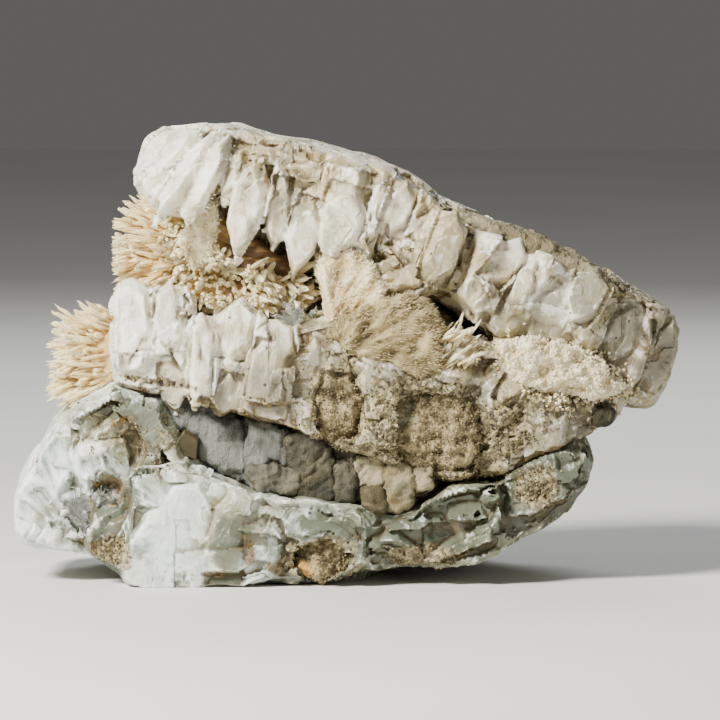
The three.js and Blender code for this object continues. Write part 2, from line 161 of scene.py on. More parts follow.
def waves(points, seed, size, stretch=(1, 1, 1)):
    """A smooth random field from -1 to 1, with swells about this size, drawn out along an axis."""
    rng = np.random.default_rng(seed)
    total = np.zeros(len(points))
    for _ in range(14):
        direction = unit(rng.normal(size=3)) / np.array(stretch)
        pitch = 2 * np.pi / (size * rng.uniform(0.6, 1.6))
        total += np.sin(points @ direction * pitch + rng.uniform(0, 2 * np.pi))
    return np.clip(total / 4.5, -1, 1)


def swells(points, *layers):
    """Random fields added up, each given by a seed, a size in mm, a weight and maybe a stretch."""
    return sum(weight * waves(points, seed, size * MM, *stretch)
               for seed, size, weight, *stretch in layers)


def marked(points, marks, behind=6):
    """How strongly each point of the front lies in a mark. A mark is an ellipse seen from the
    front: its middle x and z, half width and half height in mm, and its turn in degrees."""
    strength = np.zeros(len(points))
    x, y, z = points.T / MM
    for mid_x, mid_z, wide, high, turn in marks:
        c, s = math.cos(math.radians(turn)), math.sin(math.radians(turn))
        across, up = (x - mid_x) * c + (z - mid_z) * s, (z - mid_z) * c - (x - mid_x) * s
        strength = np.maximum(strength, np.clip(1.6 - np.hypot(across / wide, up / high), 0, 1))
    return strength * np.clip((behind - y) / 6, 0, 1)


def standing(piece, rounds):
    """How far each point stands out from (above 0) or lies below the surface round it, in mm. The
    surface round it is the piece's own, evened out over this many rings of neighbours."""
    points, normals = surface(piece)
    ends = np.zeros(len(piece.data.edges) * 2, dtype=np.int32)
    piece.data.edges.foreach_get("vertices", ends)
    a, b = ends.reshape(-1, 2).T
    links = np.bincount(ends, minlength=len(points))[:, None]
    even, count = points.copy(), len(points)
    for _ in range(rounds):
        total = np.stack([np.bincount(a, even[b, k], count) + np.bincount(b, even[a, k], count)
                          for k in range(3)], axis=1)
        even = 0.5 * even + 0.5 * total / links
    return np.sum((points - even) * normals, axis=1) / MM


def grow_plates(piece, seed, sizes, growth, heroes=(), disorder=0.12):
    """Covers a piece in intergrown plates. sizes lists generations, coarse first, each a count and
    a width, length and height in mm. growth gives the direction in which plates grow at a point.
    heroes are single large plates, seen from the front: root x and z, tip x and z, width, height and
    tilt. A hero without height is a crystal that is there already: the small plates stay flat on it.
    A plate is cut by flat faces: a tilted top, a steep and a gentle side, two faces that meet in its tip
    and one at its root. Where several plates meet, the highest shows, and along its edges and in the gaps
    this is noted for the material, which paints highlights along the edges and shade in the gaps. Smooth
    and rough areas alternate."""
    rng = np.random.default_rng(seed)
    points, normals = surface(piece)
    order = np.argsort(points[:, 0])
    p, n = points[order], normals[order]
    front = np.where(n[:, 1] < -0.3)[0]
    notes = {key: np.zeros(len(p)) for key in ("relief", "edge", "gap", "rim", "reach")}
    tone, grain = np.full(len(p), 0.5), np.zeros((len(p), 3))
    calm = np.clip(0.55 + 0.9 * waves(p, seed, 16 * MM), 0.1, 1)
    held = np.zeros(len(p))
    bent = p + np.stack([waves(p, seed + k, 9 * MM) for k in (1, 2, 3)], axis=1) * 0.6 * MM
    for generation, (count, width, length, height) in enumerate(sizes):
        height = height * MM
        best = np.full(len(p), 0.0 if generation else -0.8 * height)
        second, edge = np.full(len(p), FAR_BELOW), np.zeros(len(p))
        plates, kept_free = [], []
        for root_x, root_z, tip_x, tip_z, wide, tall, tilt in heroes if generation == 0 else ():
            middle = np.array([root_x + tip_x, -60, root_z + tip_z]) / 2 * MM
            at = front[np.argmin(np.linalg.norm((p[front] - middle) * (1, 0.15, 1), axis=1))]
            along = np.array([tip_x - root_x, 0.0, tip_z - root_z]) * MM
            span = np.linalg.norm(along)
            plates.append((at, along, wide * MM, span, tall * MM, tilt, rng.uniform(0.5, 1)))
            kept_free.append((p[at], unit(along), 0.45 * span, 0.4 * wide * MM))
            off = (p - p[at]) * (1, 0.3, 1)
            ahead = off @ unit(along)
            aside = np.linalg.norm(off - ahead[:, None] * unit(along), axis=1)
            own = (np.abs(ahead) < 0.5 * span) & (aside < 0.5 * wide * MM)
            calm[own], held[own] = 0.12, float(tall == 0)
        if generation:
            roots = rng.choice(len(p), count, p=calm / calm.sum())
        else:
            roots = rng.integers(len(p), size=count)
        for at in roots:
            along = unit(growth(*(p[at] / MM))) + rng.normal(0, disorder, 3)
            crowded = False
            for middle, axis, half_length, half_width in kept_free:
                off = (p[at] - middle) * (1, 0.3, 1)
                ahead = off @ axis
                crowded |= abs(ahead) < half_length and np.linalg.norm(off - ahead * axis) < half_width
            if not crowded:
                size = (width * MM * rng.uniform(0.5, 1.5), length * MM * rng.uniform(0.6, 1.5),
                        height * rng.uniform(-0.3, 1.0))
                plates.append((at, along, *size, rng.uniform(-0.15, 0.5), rng.uniform()))
        for number, (at, along, wide, long, tall, tilt, colour) in enumerate(plates):
            hero = generation == 0 and number < len(heroes)
            normal = unit(n[at] - np.array([0, 0.4, 0]) * float(n[at][1] < 0))
            along = unit(along - normal * np.dot(along, normal))
            side = np.cross(normal, along)
            gentle, steep, tip = rng.uniform(0.2, 0.6), rng.uniform(1.2, 3.0), rng.uniform(0.5, 2.0)
            left, right = (steep, gentle) if tilt > 0 else (gentle, steep)
            skew, rise, yaw = rng.uniform(0.1, 1.6, 2), rng.uniform(-0.05, 0.15), rng.normal(0, 0.35, 3)
            faces = np.stack([
                normal - tilt * side - rise * along,
                normal + left * (side + yaw[0] * along), normal - right * (side + yaw[1] * along),
                normal + tip * (along + skew[0] * side), normal + tip * (along - skew[1] * side),
                normal - 0.25 * (along + yaw[2] * side)])
            feet = tall * normal + np.stack([
                0 * side, side * wide / 2, -side * wide / 2, along * long / 2, along * long / 2,
                -along * long / 2])
            low, high = np.searchsorted(p[:, 0], p[at][0] + np.array([-0.7, 0.7]) * (long + wide))
            near = low + np.flatnonzero(np.abs(p[low:high] - p[at]).max(axis=1) < 0.8 * (long + wide))
            rel, ahead = bent[near] - bent[at], n[near] @ normal
            h = (np.sum(feet * faces, axis=1) - rel @ faces.T) / np.maximum(n[near] @ faces.T, 0.4)
            h.partition(1, axis=1)
            within = (ahead > 0.2) & (np.abs(rel @ normal) < 5 * MM + tall)
            top = np.where(within, h[:, 0], FAR_BELOW)
            top -= 0 if hero else 0.7 * height * held[near]
            wins = top > best[near]
            won = near[wins]
            second[near] = np.where(wins, best[near], np.maximum(second[near], top))
            best[won] = top[wins]
            inward = (h[:, 1] - h[:, 0])[wins]
            edge[won] = np.exp(-inward / EDGE)
            if generation == 0:
                tone[won] = colour
                s, t = rel[wins] @ along, rel[wins] @ side
                notes["rim"][won] = np.exp(-inward / RIM)
                notes["reach"][won] = np.clip(0.5 + s / long, 0, 1)
                grain[won] = np.stack([s, t, np.full(len(s), colour * 50 * MM)], axis=1) / MM
        best = np.minimum(best, 2 * height)
        lift = best * (1 - 0.5 * held) if generation else (best - 0.7 * height) * (1 - held)
        p = p + n * lift[:, None] * RELIEF_PULL
        notes["relief"] += np.clip(best / height / 1.8 + 0.45, 0, 1) / len(sizes)
        notes["edge"] = np.maximum(notes["edge"], edge * (best > 0))
        crack = np.exp((second - best) / CRACK) * (best < 0.5 * height) * (1 - 0.6 * held)
        notes["gap"] = np.maximum(notes["gap"], crack)
    back = np.argsort(order)
    move(piece, p[back])
    notes = {"tone": tone, "grain": grain, "rough": calm, **notes}
    record(piece, **{key: field[back] for key, field in notes.items()})


def set_blades(piece, blades, grain, seed):
    """Sets large flat crystals into the front of a piece and makes them one with it. Each is a
    six-sided tablet with bevelled edges. blades lists root x and z, tip x and z, width, how far it
    stands out in mm, and its tilt about its length."""
    rng = np.random.default_rng(seed)
    points, normals = surface(piece)
    crystals = []
    for root_x, root_z, tip_x, tip_z, wide, proud, tilt in blades:
        middle = np.array([root_x + tip_x, 0, root_z + tip_z]) / 2 * MM
        along = np.array([tip_x - root_x, 0, tip_z - root_z]) * MM
        long = np.linalg.norm(along)
        distance = np.linalg.norm((points - middle) * (1, 0, 1), axis=1)
        near = (distance < 0.3 * long) & (normals[:, 1] < -0.2)
        middle[1] = np.percentile(points[near & (distance < 2.5 * MM), 1], 20)
        outward = unit(normals[near].mean(axis=0) + (0, -0.5, 0))
        along = unit(along - outward * np.dot(along, outward))
        outward = unit(outward - tilt * np.cross(outward, along))
        bpy.ops.object.select_all(action="DESELECT")
        bpy.ops.mesh.primitive_cone_add(vertices=6, radius1=1.0, radius2=0.72, depth=1.0)
        crystal = bpy.context.object
        uneven = rng.uniform(0.72, 1.15, (6, 3))
        for vertex in crystal.data.vertices:
            corner = int(round(math.degrees(math.atan2(vertex.co.x, vertex.co.y)) / 60)) % 6
            vertex.co = [number * by for number, by in zip(vertex.co, uneven[corner])]
        frame_of = np.eye(4)
        frame_of[:3, 0] = np.cross(along, outward) * 0.62 * wide * MM
        frame_of[:3, 1] = along * 0.58 * long
        frame_of[:3, 2] = outward * BLADE_DEPTH
        frame_of[:3, 3] = middle + outward * (proud * MM - BLADE_DEPTH / 2)
        crystal.matrix_world = Matrix(frame_of.tolist())
        crystals.append(crystal)
    pick(*crystals)
    bpy.ops.object.transform_apply(location=True, rotation=True, scale=True)
    pick(*crystals, piece)
    bpy.ops.object.join()
    shape(piece, "REMESH", mode="VOXEL", voxel_size=grain)
    shape(piece, "SMOOTH", factor=0.5, iterations=1)


def crisp(piece, triangles):
    """Thins a piece so that its flat faces take few triangles and their edges run straight, and notes its
    ridges and hollows, small and large, for the material, which paints highlights on the ridges and shade
    in the hollows, and makes the large swells paler than the valleys between them."""
    shape(piece, "TRIANGULATE")
    shape(piece, "DECIMATE", ratio=min(1, triangles / len(piece.data.polygons)))
    small, large = standing(piece, 6), standing(piece, 70)
    record(piece, ridge=np.clip(small / 0.25, 0, 1), hollow=np.clip(-small / 0.25, 0, 1),
           swell=np.clip(0.5 + large / 2.4, 0, 1))


def linear(colour):
    """An sRGB hex colour as linear RGBA."""
    channels = [int(colour[i:i + 2], 16) / 255 for i in (1, 3, 5)]
    curve = [c / 12.92 if c <= 0.04045 else ((c + 0.055) / 1.055) ** 2.4 for c in channels]
    return (*curve, 1.0)


def add(material, kind, sockets=None, output=0, **settings):
    """Adds a node with its settings, sets or links its sockets, and gives back one of its outputs."""
    tree = material.node_tree
    node = tree.nodes.new("ShaderNode" + kind)
    for key, value in settings.items():
        setattr(node, key, value)
    for name, value in (sockets or {}).items():
        if isinstance(value, bpy.types.NodeSocket):
            tree.links.new(value, node.inputs[name])
        else:
            node.inputs[name].default_value = value
    return node.outputs[output] if len(node.outputs) else None


def weigh(material, fields, start=0.0, **weights):
    """The weighted sum of some of a material's fields, on top of start."""
    total = start
    for name, weight in weights.items():
        total = add(material, "Math", {0: fields[name], 1: weight, 2: total}, operation="MULTIPLY_ADD")
    return total


def lay(material, under, colour, field, low, high, most=1.0):
    """Lays a colour over another where a field goes from low to high, as thick as most at the end."""
    here = add(material, "MapRange", {"Value": field, "From Min": low, "From Max": high, "To Max": most},
               interpolation_type="SMOOTHSTEP")
    colour = linear(colour) if isinstance(colour, str) else colour
    return add(material, "Mix", {0: here, 6: under, 7: colour}, output=2, data_type="RGBA")


def noises(material, place, mm=MM, **sizes):
    """Random fields from 0 to 1. Each is named, and its size is that of its largest spots in mm."""
    fields = {}
    for key, size in sizes.items():
        noise = {"Vector": place, "Scale": 1 / (size * mm), "Detail": 5.0, "Roughness": 0.62}
        raw = add(material, "TexNoise", noise)
        fields[key] = add(material, "MapRange", {"Value": raw, "From Min": 0.32, "From Max": 0.68})
    return fields


def new_material(name, *notes, **sizes):
    """An empty material, with its coordinates and its fields by name: the numbers that a piece's
    record keeps under the names in notes, and random fields with spots of the sizes given."""
    material = bpy.data.materials.new(name)
    material.use_nodes = True
    material.node_tree.nodes.clear()
    place = add(material, "TexCoord", output="Object")
    fields = noises(material, place, **sizes)
    for key in notes:
        fields[key] = add(material, "Attribute", output="Fac", attribute_name=key)
    return material, place, fields


def surfaced(material, sockets, height, strength, depth, **settings):
    """Ends a material in a shader with these sockets, over a bump of this strength and depth."""
    bump = add(material, "Bump", {"Height": height, "Strength": strength, "Distance": depth}, **settings)
    shader = add(material, "BsdfPrincipled", {"Normal": bump, **sockets})
    add(material, "OutputMaterial", {"Surface": shader})
    return material


def celestine(name, milky, shadow, khaki, umber, clear, cream):
    """Celestine: milky to clear sulphate crystal with a pearly cleavage. Light enters it and comes out
    softened, so its shadows stay bright. Its broken facets and white edges catch the light one by one. Its
    colour also holds painted light: painted highlights on ridges, plate rims and edges, and painted shade
    in valleys, gaps and hollows. Clear blades look darker and glossier than milky ones, and iron stains it
    ochre."""
    m, place, f = new_material(
        name, "edge", "rim", "reach", "gap", "tone", "ridge", "hollow", "swell", "pale", "khaki", "clear",
        "stain", "crust", "rough", patches=24, clouds=7, spots=2.6, freckles=1.2, dust=0.4)
    grain = add(m, "Attribute", output="Vector", attribute_name="grain")
    drawn = add(m, "VectorMath", {0: grain, 1: (0.15, 0.9, 1.0)}, operation="MULTIPLY")
    f.update(noises(m, drawn, 1.0, streaks=1.0))
    spot = add(m, "VectorMath", {0: grain, 1: (0.55, 1.0, 1.0)}, operation="MULTIPLY")
    for key, size in (("large_facets", 3.2), ("small_facets", 1.3)):
        cells = add(m, "TexVoronoi", {"Vector": spot, "Scale": 1 / size}).node.outputs
        slope = add(m, "VectorMath", {0: cells["Color"], 1: (0.5, 0.5, 0.5)}, operation="SUBTRACT")
        inside = add(m, "VectorMath", {0: spot, 1: cells["Position"]}, operation="SUBTRACT")
        f[key] = add(m, "VectorMath", {0: slope, 1: inside}, output="Value", operation="DOT_PRODUCT")
    f["facet_tone"] = add(m, "SeparateColor", {0: cells["Color"]})

    # Painted light over the crystal's own tone: paler where the large swells stand out, along plate rims
    # and towards plate tips, and darker in the valleys between the swells as painted shade.
    lit = weigh(m, f, tone=0.8, swell=0.5, clouds=0.5, streaks=0.35, facet_tone=0.25, rim=0.25,
                reach=0.15, patches=0.5, pale=0.5)
    body = lay(m, linear(shadow), milky, lit, 1.25, 1.95)
    body = lay(m, body, cream, weigh(m, f, patches=0.6, clouds=0.5, tone=0.2), 0.5, 1.0, 0.55)
    warm = weigh(m, f, khaki=0.8, patches=0.5, clouds=0.6, tone=-0.4, spots=0.3)
    body = lay(m, body, lay(m, linear(umber), khaki, lit, 1.05, 1.8), warm, 0.45, 1.25, 0.85)
    glassy = weigh(m, f, clear=0.7, pale=-0.3, tone=0.5, clouds=-0.4, facet_tone=0.2, spots=-0.2, rim=-0.3)
    body = lay(m, body, clear, glassy, -0.1, 0.5, 0.85)
    # White veils in streaks and freckles, and painted highlights on ridges, rims and plate edges.
    white = weigh(m, f, ridge=0.25, edge=0.5, rim=0.15, streaks=0.4, freckles=0.2, khaki=-0.15, spots=0.3,
                  pale=0.12)
    body = lay(m, body, "#FFFEFA", white, 0.76, 1.22, 0.75)
    # Painted shade: darker brown in the gaps between plates, in the hollows and low in the large swells.
    crevice_shade = weigh(m, f, hollow=0.25, gap=0.4, swell=-0.5, clouds=0.5, freckles=0.25)
    body = lay(m, body, "#6A5430", crevice_shade, 0.2, 0.8, 0.6)
    rust = lay(m, linear("#2E220E"), "#8C7036", f["freckles"], 0.2, 0.9)
    body = lay(m, body, rust, weigh(m, f, stain=1.2, spots=0.5, freckles=0.4), 0.9, 1.5, 0.9)
    specks = add(m, "TexVoronoi", {"Vector": place, "Scale": 1 / (6.25 * MM)})
    body = lay(m, body, "#2A1E10", specks, 0.085, 0.06, 0.9)
    grit = add(m, "TexVoronoi", {"Vector": place, "Scale": 1 / MM})
    grit_tone = add(m, "SeparateColor", {0: grit.node.outputs["Color"]})
    grains = lay(m, linear("#4A3F28"), "#BFB088", grit_tone, 0.1, 0.9)
    grains = lay(m, grains, "#6E6446", f["spots"], 0.4, 0.8, 0.5)
    sandy = weigh(m, f, crust=1.0, clouds=0.55, freckles=0.35)
    f["gritty"] = add(m, "MapRange", {"Value": sandy, "From Min": 0.85, "From Max": 1.25})
    body = lay(m, body, grains, f["gritty"], 0.0, 1.0)
    broken = weigh(m, f, large_facets=0.9, small_facets=0.6)
    f["broken"] = add(m, "Math", {0: broken, 1: f["rough"]}, operation="MULTIPLY")
    f["coarse"] = add(m, "Math", {0: grit, 1: f["gritty"]}, operation="MULTIPLY")
    height = weigh(m, f, broken=1.0, streaks=0.3, freckles=0.12, dust=0.06, coarse=-1.1)
    return surfaced(m, {
        "Base Color": body, "Roughness": weigh(m, f, 0.18, clouds=0.24, gritty=0.4), "IOR": 1.62,
        "Subsurface Weight": 0.6, "Subsurface Radius": (1.0, 0.88, 0.68), "Subsurface Scale": 1.5 * MM,
    }, height, 0.6, 0.8 * MM)


def finish_piece(piece, material, slot, *nodes, smooth=180):
    """Shades a piece, gives it its material and hides the nodes that it stands for."""
    pick(piece)
    if smooth:
        bpy.ops.object.shade_smooth_by_angle(angle=math.radians(smooth))
    piece.data.materials.clear()
    piece.data.materials.append(material)
    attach(piece, "root")
    if nodes:
        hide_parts(*nodes)


def scatter(form, name, roots, directions, widths, lengths, seed, flatness=1.0, facing=None, jitter=0.15):
    """One piece of many copies of a form, each on its own root with its own direction and size. With
    facing, the flat side of each copy faces that way. jitter makes each copy irregular."""
    rng = np.random.default_rng(seed)
    mesh = form.data
    corners = np.zeros(len(mesh.vertices) * 3)
    mesh.vertices.foreach_get("co", corners)
    corners = corners.reshape(-1, 3)
    faces = [np.array(face.vertices) for face in mesh.polygons]
    along = unit(directions)
    side = unit(np.cross(unit(rng.normal(size=along.shape)) if facing is None else facing, along))
    third = np.cross(along, side)
    count = len(roots)
    x, y, z = [np.broadcast_to(values, (count, len(corners))) for values in corners.T]
    wide = np.asarray(widths)[:, None] * rng.uniform(1 - jitter, 1 + jitter, x.shape)
    long = np.asarray(lengths)[:, None] * rng.uniform(1 - jitter, 1 + jitter, x.shape)
    bend = rng.uniform(-0.12, 0.12, (count, 1)) * z ** 2 * long
    points = (roots[:, None] + (x * wide + bend)[..., None] * side[:, None]
              + (y * wide * flatness)[..., None] * third[:, None]
              + (z * long)[..., None] * along[:, None])
    made = bpy.data.meshes.new(name)
    loops = [tuple(face + i * len(corners)) for i in range(count) for face in faces]
    made.from_pydata(points.reshape(-1, 3), [], loops)
    piece = bpy.data.objects.new(name, made)
    bpy.context.scene.collection.objects.link(piece)
    move(piece, points.reshape(-1, 3))
    number = np.broadcast_to(np.arange(count)[:, None] * 3.7 * MM, x.shape)
    record(piece, rise=z.ravel(), tone=np.repeat(rng.uniform(size=count), len(corners)),
           grain=np.stack([z * long, x * wide, number], axis=-1).reshape(-1, 3) / MM)
    return piece


def upper_growth(x, y, z):
    """Left of the pocket the plates grow upwards and lean out, and elsewhere they hang."""
    lean = np.interp(x, [-55, -38, -28, -10, 10, 40, 60, 90],
                     [-0.75, -0.65, 0.1, 0.1, 0.2, 0.4, 0.5, 0.25])
    return np.array([-lean, -0.1, -1.0 if x > -32 else 1.0])


UPPER_PLATES = [
    (-46, 122, -57, 108, 7, 0.8, 0.7), (-41, 122.5, -55.5, 103, 6, 1.0, 0.7),
    (-36, 121, -51, 98, 6, 1.2, 0.7), (-33, 119, -44.5, 95, 7, 1.2, 0.6),
    (-28, 117, -34.5, 103, 5, 0.5, 0.5), (-25, 112, -31, 87, 10, 0.8, 0.25),
    (-17, 108, -20, 89, 6, 0.3, -0.2), (-9, 103, -15, 83, 9, 1.0, -0.25),
    (1, 106, -5, 87, 12, 0.9, 0.15), (16, 108, 10, 92, 8, 0.4, 0.2),
    (29, 99, 22, 80, 9, 0.8, -0.2), (46, 92, 37, 80, 8, 0.6, 0.2),
    (50, 87, 40, 67, 7, 0.7, 0.25), (57.5, 81, 48, 62, 12, 1.2, -0.1),
    (67, 84, 59, 70, 10, 0.9, 0.2), (76.5, 74, 69, 58, 9.5, 1.2, -0.12),
    (80, 70, 74, 50, 6, 0.7, 0.25), (88.5, 71, 80, 50, 7, 1.2, 0.3),
]

upper = take_solid("upper_celestine", "upper_wall")
weather(upper, WALL_GRAIN, rounds=2, swell=0.2 * MM, closing=0.7 * MM)
points, normals = surface(upper)
points[:, 2] -= np.clip(points[:, 2] - 108 * MM, 0, None) * 0.1
points[:, 0] -= np.clip(points[:, 0] - 78 * MM, 0, None) * 0.16
hollow = marked(points, [(24, 70, 7, 5.5, -20)])[:, None] * (0, 9, 0) * MM
lumps = swells(points, (1, 26, 1.2), (5, 9, 0.5))
move(upper, points + normals * lumps[:, None] * RELIEF_PULL * MM + hollow)
set_blades(upper, UPPER_PLATES, WALL_GRAIN, 12)
grow_plates(upper, 11, [(620, 6, 17, 1.2), (1600, 2.6, 8, 0.5)], upper_growth,
            [(*plate[:5], 0, 0) for plate in UPPER_PLATES])
crisp(upper, WALL_TRIANGLES)
points, normals = surface(upper)
x, y, z = points.T / MM
# back: how far a point lies back in the pocket. It turns the colour khaki and darker there: the crystal's
# khaki tint together with painted shade inside the pocket.
back = np.clip((y - 2) / 10, 0, 1)
pale = marked(points, [(-47, 108, 13, 8, 35), (-28, 95, 5, 9, -10), (-12, 91, 5, 6, 20),
                       (-1, 93, 6, 9, 0), (11, 97, 6, 7, 0), (44, 89, 8, 4, -30), (53, 76, 8, 6, -25)])
umber = marked(points, [(-12, 112, 22, 5, -12), (15, 96, 10, 12, 0)])
record(
    upper,
    pale=pale + np.interp(x, [-36, -30], [0.4, 0]) * (y < 0),
    khaki=np.clip(np.interp(x, [-42, -24, 40], [0.1, 0.6, 0.75]) + 0.4 * back - 0.8 * pale
                  + 0.5 * umber, 0, 1),
    clear=0.5 * marked(points, [(-27, 92, 3, 7, 0), (-13, 92, 4, 6, 10), (-3, 90, 4, 8, 0),
                                (83, 60, 5, 10, -25)])
    + marked(points, [(-14, 101, 2.5, 4, 0), (-33, 113, 2, 7, -25), (39, 72, 3.5, 7, -25),
                      (51, 71, 5.5, 8, -25), (63, 77, 4, 6, -25), (72, 66, 4, 7, -25)]),
    stain=marked(points, [(-22, 108, 0.8, 3, 0), (74, 77, 5, 1, -40), (66, 83, 5, 1, -40),
                          (25, 77, 3, 0.8, -30), (-36, 104, 0.8, 4, -30),
                          (79, 61.7, 0.9, 0.7, -30)]) * 0.8,
    crust=marked(points, [(70, 80, 7, 2.5, -40)]) * 0.7,
)
ivory_celestine = celestine("ivory celestine", "#F7F0DC", "#7A6E50", "#B4A478", "#564A2C", "#989480",
                            "#E0D4B2")
finish_piece(upper, ivory_celestine, "ivory_celestine", "upper_celestine", smooth=FACET_ANGLE)


# Middle celestine: the lower wall of the vein. Its whiter blades stand upright on the limestone
# and end in the open pocket, and brown crust covers its lower right. It grew as one piece.

MIDDLE_PLATES = [
    (-57, 62, -58.5, 83, 10, 0.7, -0.3), (-50, 66, -47, 80, 7, 0.4, 0.35),
    (-40, 49, -38, 75, 6, 0.8, 0.4), (-45, 57, -45, 72, 5, 0.3, -0.35),
    (-32, 60, -29, 77, 11, 0.6, -0.2), (-25, 50, -22, 66, 6, 0.4, 0.4),
    (-17, 58, -19, 72, 7, 0.3, -0.2), (-34, 44, -31, 57, 8, 0.4, 0.25),
    (-46, 46, -48, 60, 8, 0.4, 0.2), (-12, 50, -9, 64, 8, 0.4, -0.25), (40, 48, 46, 58, 7, 0.8, 0.1),
]


def middle_growth(x, y, z):
    """The blades stand upright at the left and lean over to the right end."""
    return np.array([np.interp(x, [-60, 0, 30, 60], [-0.05, 0.1, 0.8, 1.5]), -0.1, 1.0])


middle = take_solid("middle_celestine", "middle_wall")
weather(middle, WALL_GRAIN, rounds=3, swell=0.3 * MM, closing=1.6 * MM)
points, normals = surface(middle)
lumps = swells(points, (2, 24, 1.2), (6, 9, 0.9))
move(middle, points + normals * lumps[:, None] * RELIEF_PULL * MM)
set_blades(middle, MIDDLE_PLATES, WALL_GRAIN, 22)
grow_plates(middle, 21, [(560, 5.5, 14, 1.1), (1700, 2.4, 6, 0.45)], middle_growth,
            [(*plate[:5], 0, 0) for plate in MIDDLE_PLATES], disorder=0.2)
crisp(middle, WALL_TRIANGLES)
points, normals = surface(middle)
x, y, z = points.T / MM
# back: how far a point lies back in the pocket. It turns the colour khaki and darker there: the crystal's
# khaki tint together with painted shade inside the pocket.
back = np.clip((y - 2) / 10, 0, 1)
# Downward faces low on the front get the stain note: brown stain together with painted shade under the
# overhangs.
underside = np.clip(-2.5 * normals[:, 2] - 0.6, 0, 1) * (z < 54) * (y < 6)
umber = marked(points, [(-24, 45, 12, 4, -15), (-14, 56, 7, 6, 0)])
record(
    middle,
    pale=marked(points, [(-55, 70, 9, 14, 0), (-41, 62, 7, 11, 0)])
    + marked(points, [(35, 43, 5, 3, 20), (49, 41, 8, 4, 20)])
    - marked(points, [(-21, 52, 9, 4, -12), (-8, 60, 6, 4, 0), (66, 42, 5, 6, 0)]),
    khaki=np.clip(np.interp(x, [-60, -42, -22, 0, 60], [0.05, 0.2, 0.55, 0.65, 0.8]) + 0.4 * back
                  + 0.6 * umber, 0, 1),
    clear=marked(points, [(-25, 52, 6, 5, 0), (-16, 50, 5, 6, 0), (-44, 66, 2, 6, 0), (-35, 55, 2, 6, 0),
                          (10, 60, 5, 3, 20), (50, 42, 9, 5, 20), (14, 48, 6, 3, 30), (30, 50, 7, 3, 20)]),
    stain=np.maximum(0.9 * underside, marked(points, [
        (-26, 43.5, 12, 0.8, -13), (-39.6, 62, 0.6, 2.6, 0), (-20, 66, 1.2, 0.8, 0),
        (10, 35, 12, 1.0, -18)])),
    crust=marked(points, [(-3, 47, 9, 14, 10), (20, 42, 21, 13, -15), (58, 50, 8, 3, 0),
                          (-50, 54, 10, 1, -8)])
    + 0.7 * marked(points, [(44, 42, 15, 6, 20)]),
)
white_celestine = celestine("white celestine", "#FAF5E4", "#857A60", "#B0A278", "#544829", "#98937E",
                            "#E4D4A8")
finish_piece(middle, white_celestine, "white_celestine", "middle_celestine", smooth=FACET_ANGLE)


# Lower celestine: the thick mass that everything stands on. It is more massive than bladed, white
# with an aqua tint at the left and grey-green at the right, where it looks as if it had flowed.

LOWER_PLATES = [
    (-86, 12, -85, 29, 11, 1.4, 0.1), (-78, 26, -76, 44, 14, 1.4, 0.05), (-50, 6, -41, 27, 15, 1.2, 0.1),
    (-59, 6, -56, 19, 8, 1.8, 0.2), (-24, 6, -22, 21, 10, 1.3, 0.1), (-73, 8, -68, 26, 9, 1.3, 0.2),
]


def lower_growth(x, y, z):
    """Plates stand up at the left and lie flat to the right, as if the mass had flowed there."""
    return np.array([np.interp(x, [-90, -40, 0, 60], [0.2, 0.1, 1.5, 2.5]), -0.1, 1.0])


lower = take_solid("lower_celestine", "lower_mass")
weather(lower, WALL_GRAIN, rounds=4, swell=0.2 * MM, closing=2.0 * MM)
points, normals = surface(lower)
above_rest = np.clip(points[:, 2] / (4 * MM), 0, 1)
hollow = marked(points, [(-65, 24, 6, 5, 0)])[:, None] * (0, 6, 0) * MM
lumps = swells(points, (3, 22, 1.3), (4, 9, 0.8)) * above_rest
move(lower, points + normals * lumps[:, None] * RELIEF_PULL * MM + hollow)
grow_plates(lower, 31, [(190, 13, 18, 1.4), (1300, 3.6, 7, 0.5)], lower_growth, LOWER_PLATES,
            disorder=0.6)
crisp(lower, WALL_TRIANGLES)
points, normals = surface(lower)
x, y, z = points.T / MM
record(
    lower,
    pale=marked(points, [(-86, 18, 5, 9, 0), (-78, 28, 8, 9, 0), (-43, 20, 10, 12, 0),
                         (-70, 40, 6, 4, 30)])
    - marked(points, [(-62, 21, 6, 5, 0), (-31, 14, 4, 7, 0), (55, 32, 7, 7, 0), (22, 13, 12, 4, 10),
                      (-56, 45, 7, 4, 0)]) - np.interp(x, [-40, 10], [0, 0.6]),
    # Points further back in the pocket turn khaki and darker: the crystal's khaki tint together with
    # painted shade inside the pocket.
    khaki=np.clip(np.interp(x, [-40, -10, 20], [0, 0.45, 0.7]) + 0.3 * np.clip((y - 2) / 10, 0, 1)
                  + marked(points, [(-58, 41, 15, 8, -15), (-33, 14, 4, 8, 0)]), 0, 1),
    clear=marked(points, [(-67, 17, 8, 6, 0), (-33, 13, 3, 6, 0), (30, 20, 30, 4, 15),
                          (10, 12, 12, 4, 0)]),
    stain=marked(points, [(-64, 25, 5, 4, 0), (-68, 9.5, 4, 2, -20), (-36, 3.5, 4, 1, 0),
                          (50, 26, 2.5, 4, 20), (-18, 5, 4, 2, 0), (-60, 44, 4, 1.5, 20),
                          (-27, 10, 2, 4, 0)]),
    crust=marked(points, [(-8, 8, 9, 6, 0), (50, 26, 6, 6, 20), (20, 8, 10, 3, 0), (-62, 9, 5, 4, 0)])
    + 0.5 * marked(points, [(-58, 41, 14, 7, -15)]),
)
aqua_celestine = celestine("aqua celestine", "#E8F4EE", "#666F5C", "#8F8C68", "#423E22", "#6A7260",
                           "#CDD2BA")
finish_piece(lower, aqua_celestine, "aqua_celestine", "lower_celestine", smooth=FACET_ANGLE)


# Limestone parting: a wedge of fine grey limestone between the two celestine masses, broken to a
# striated face.

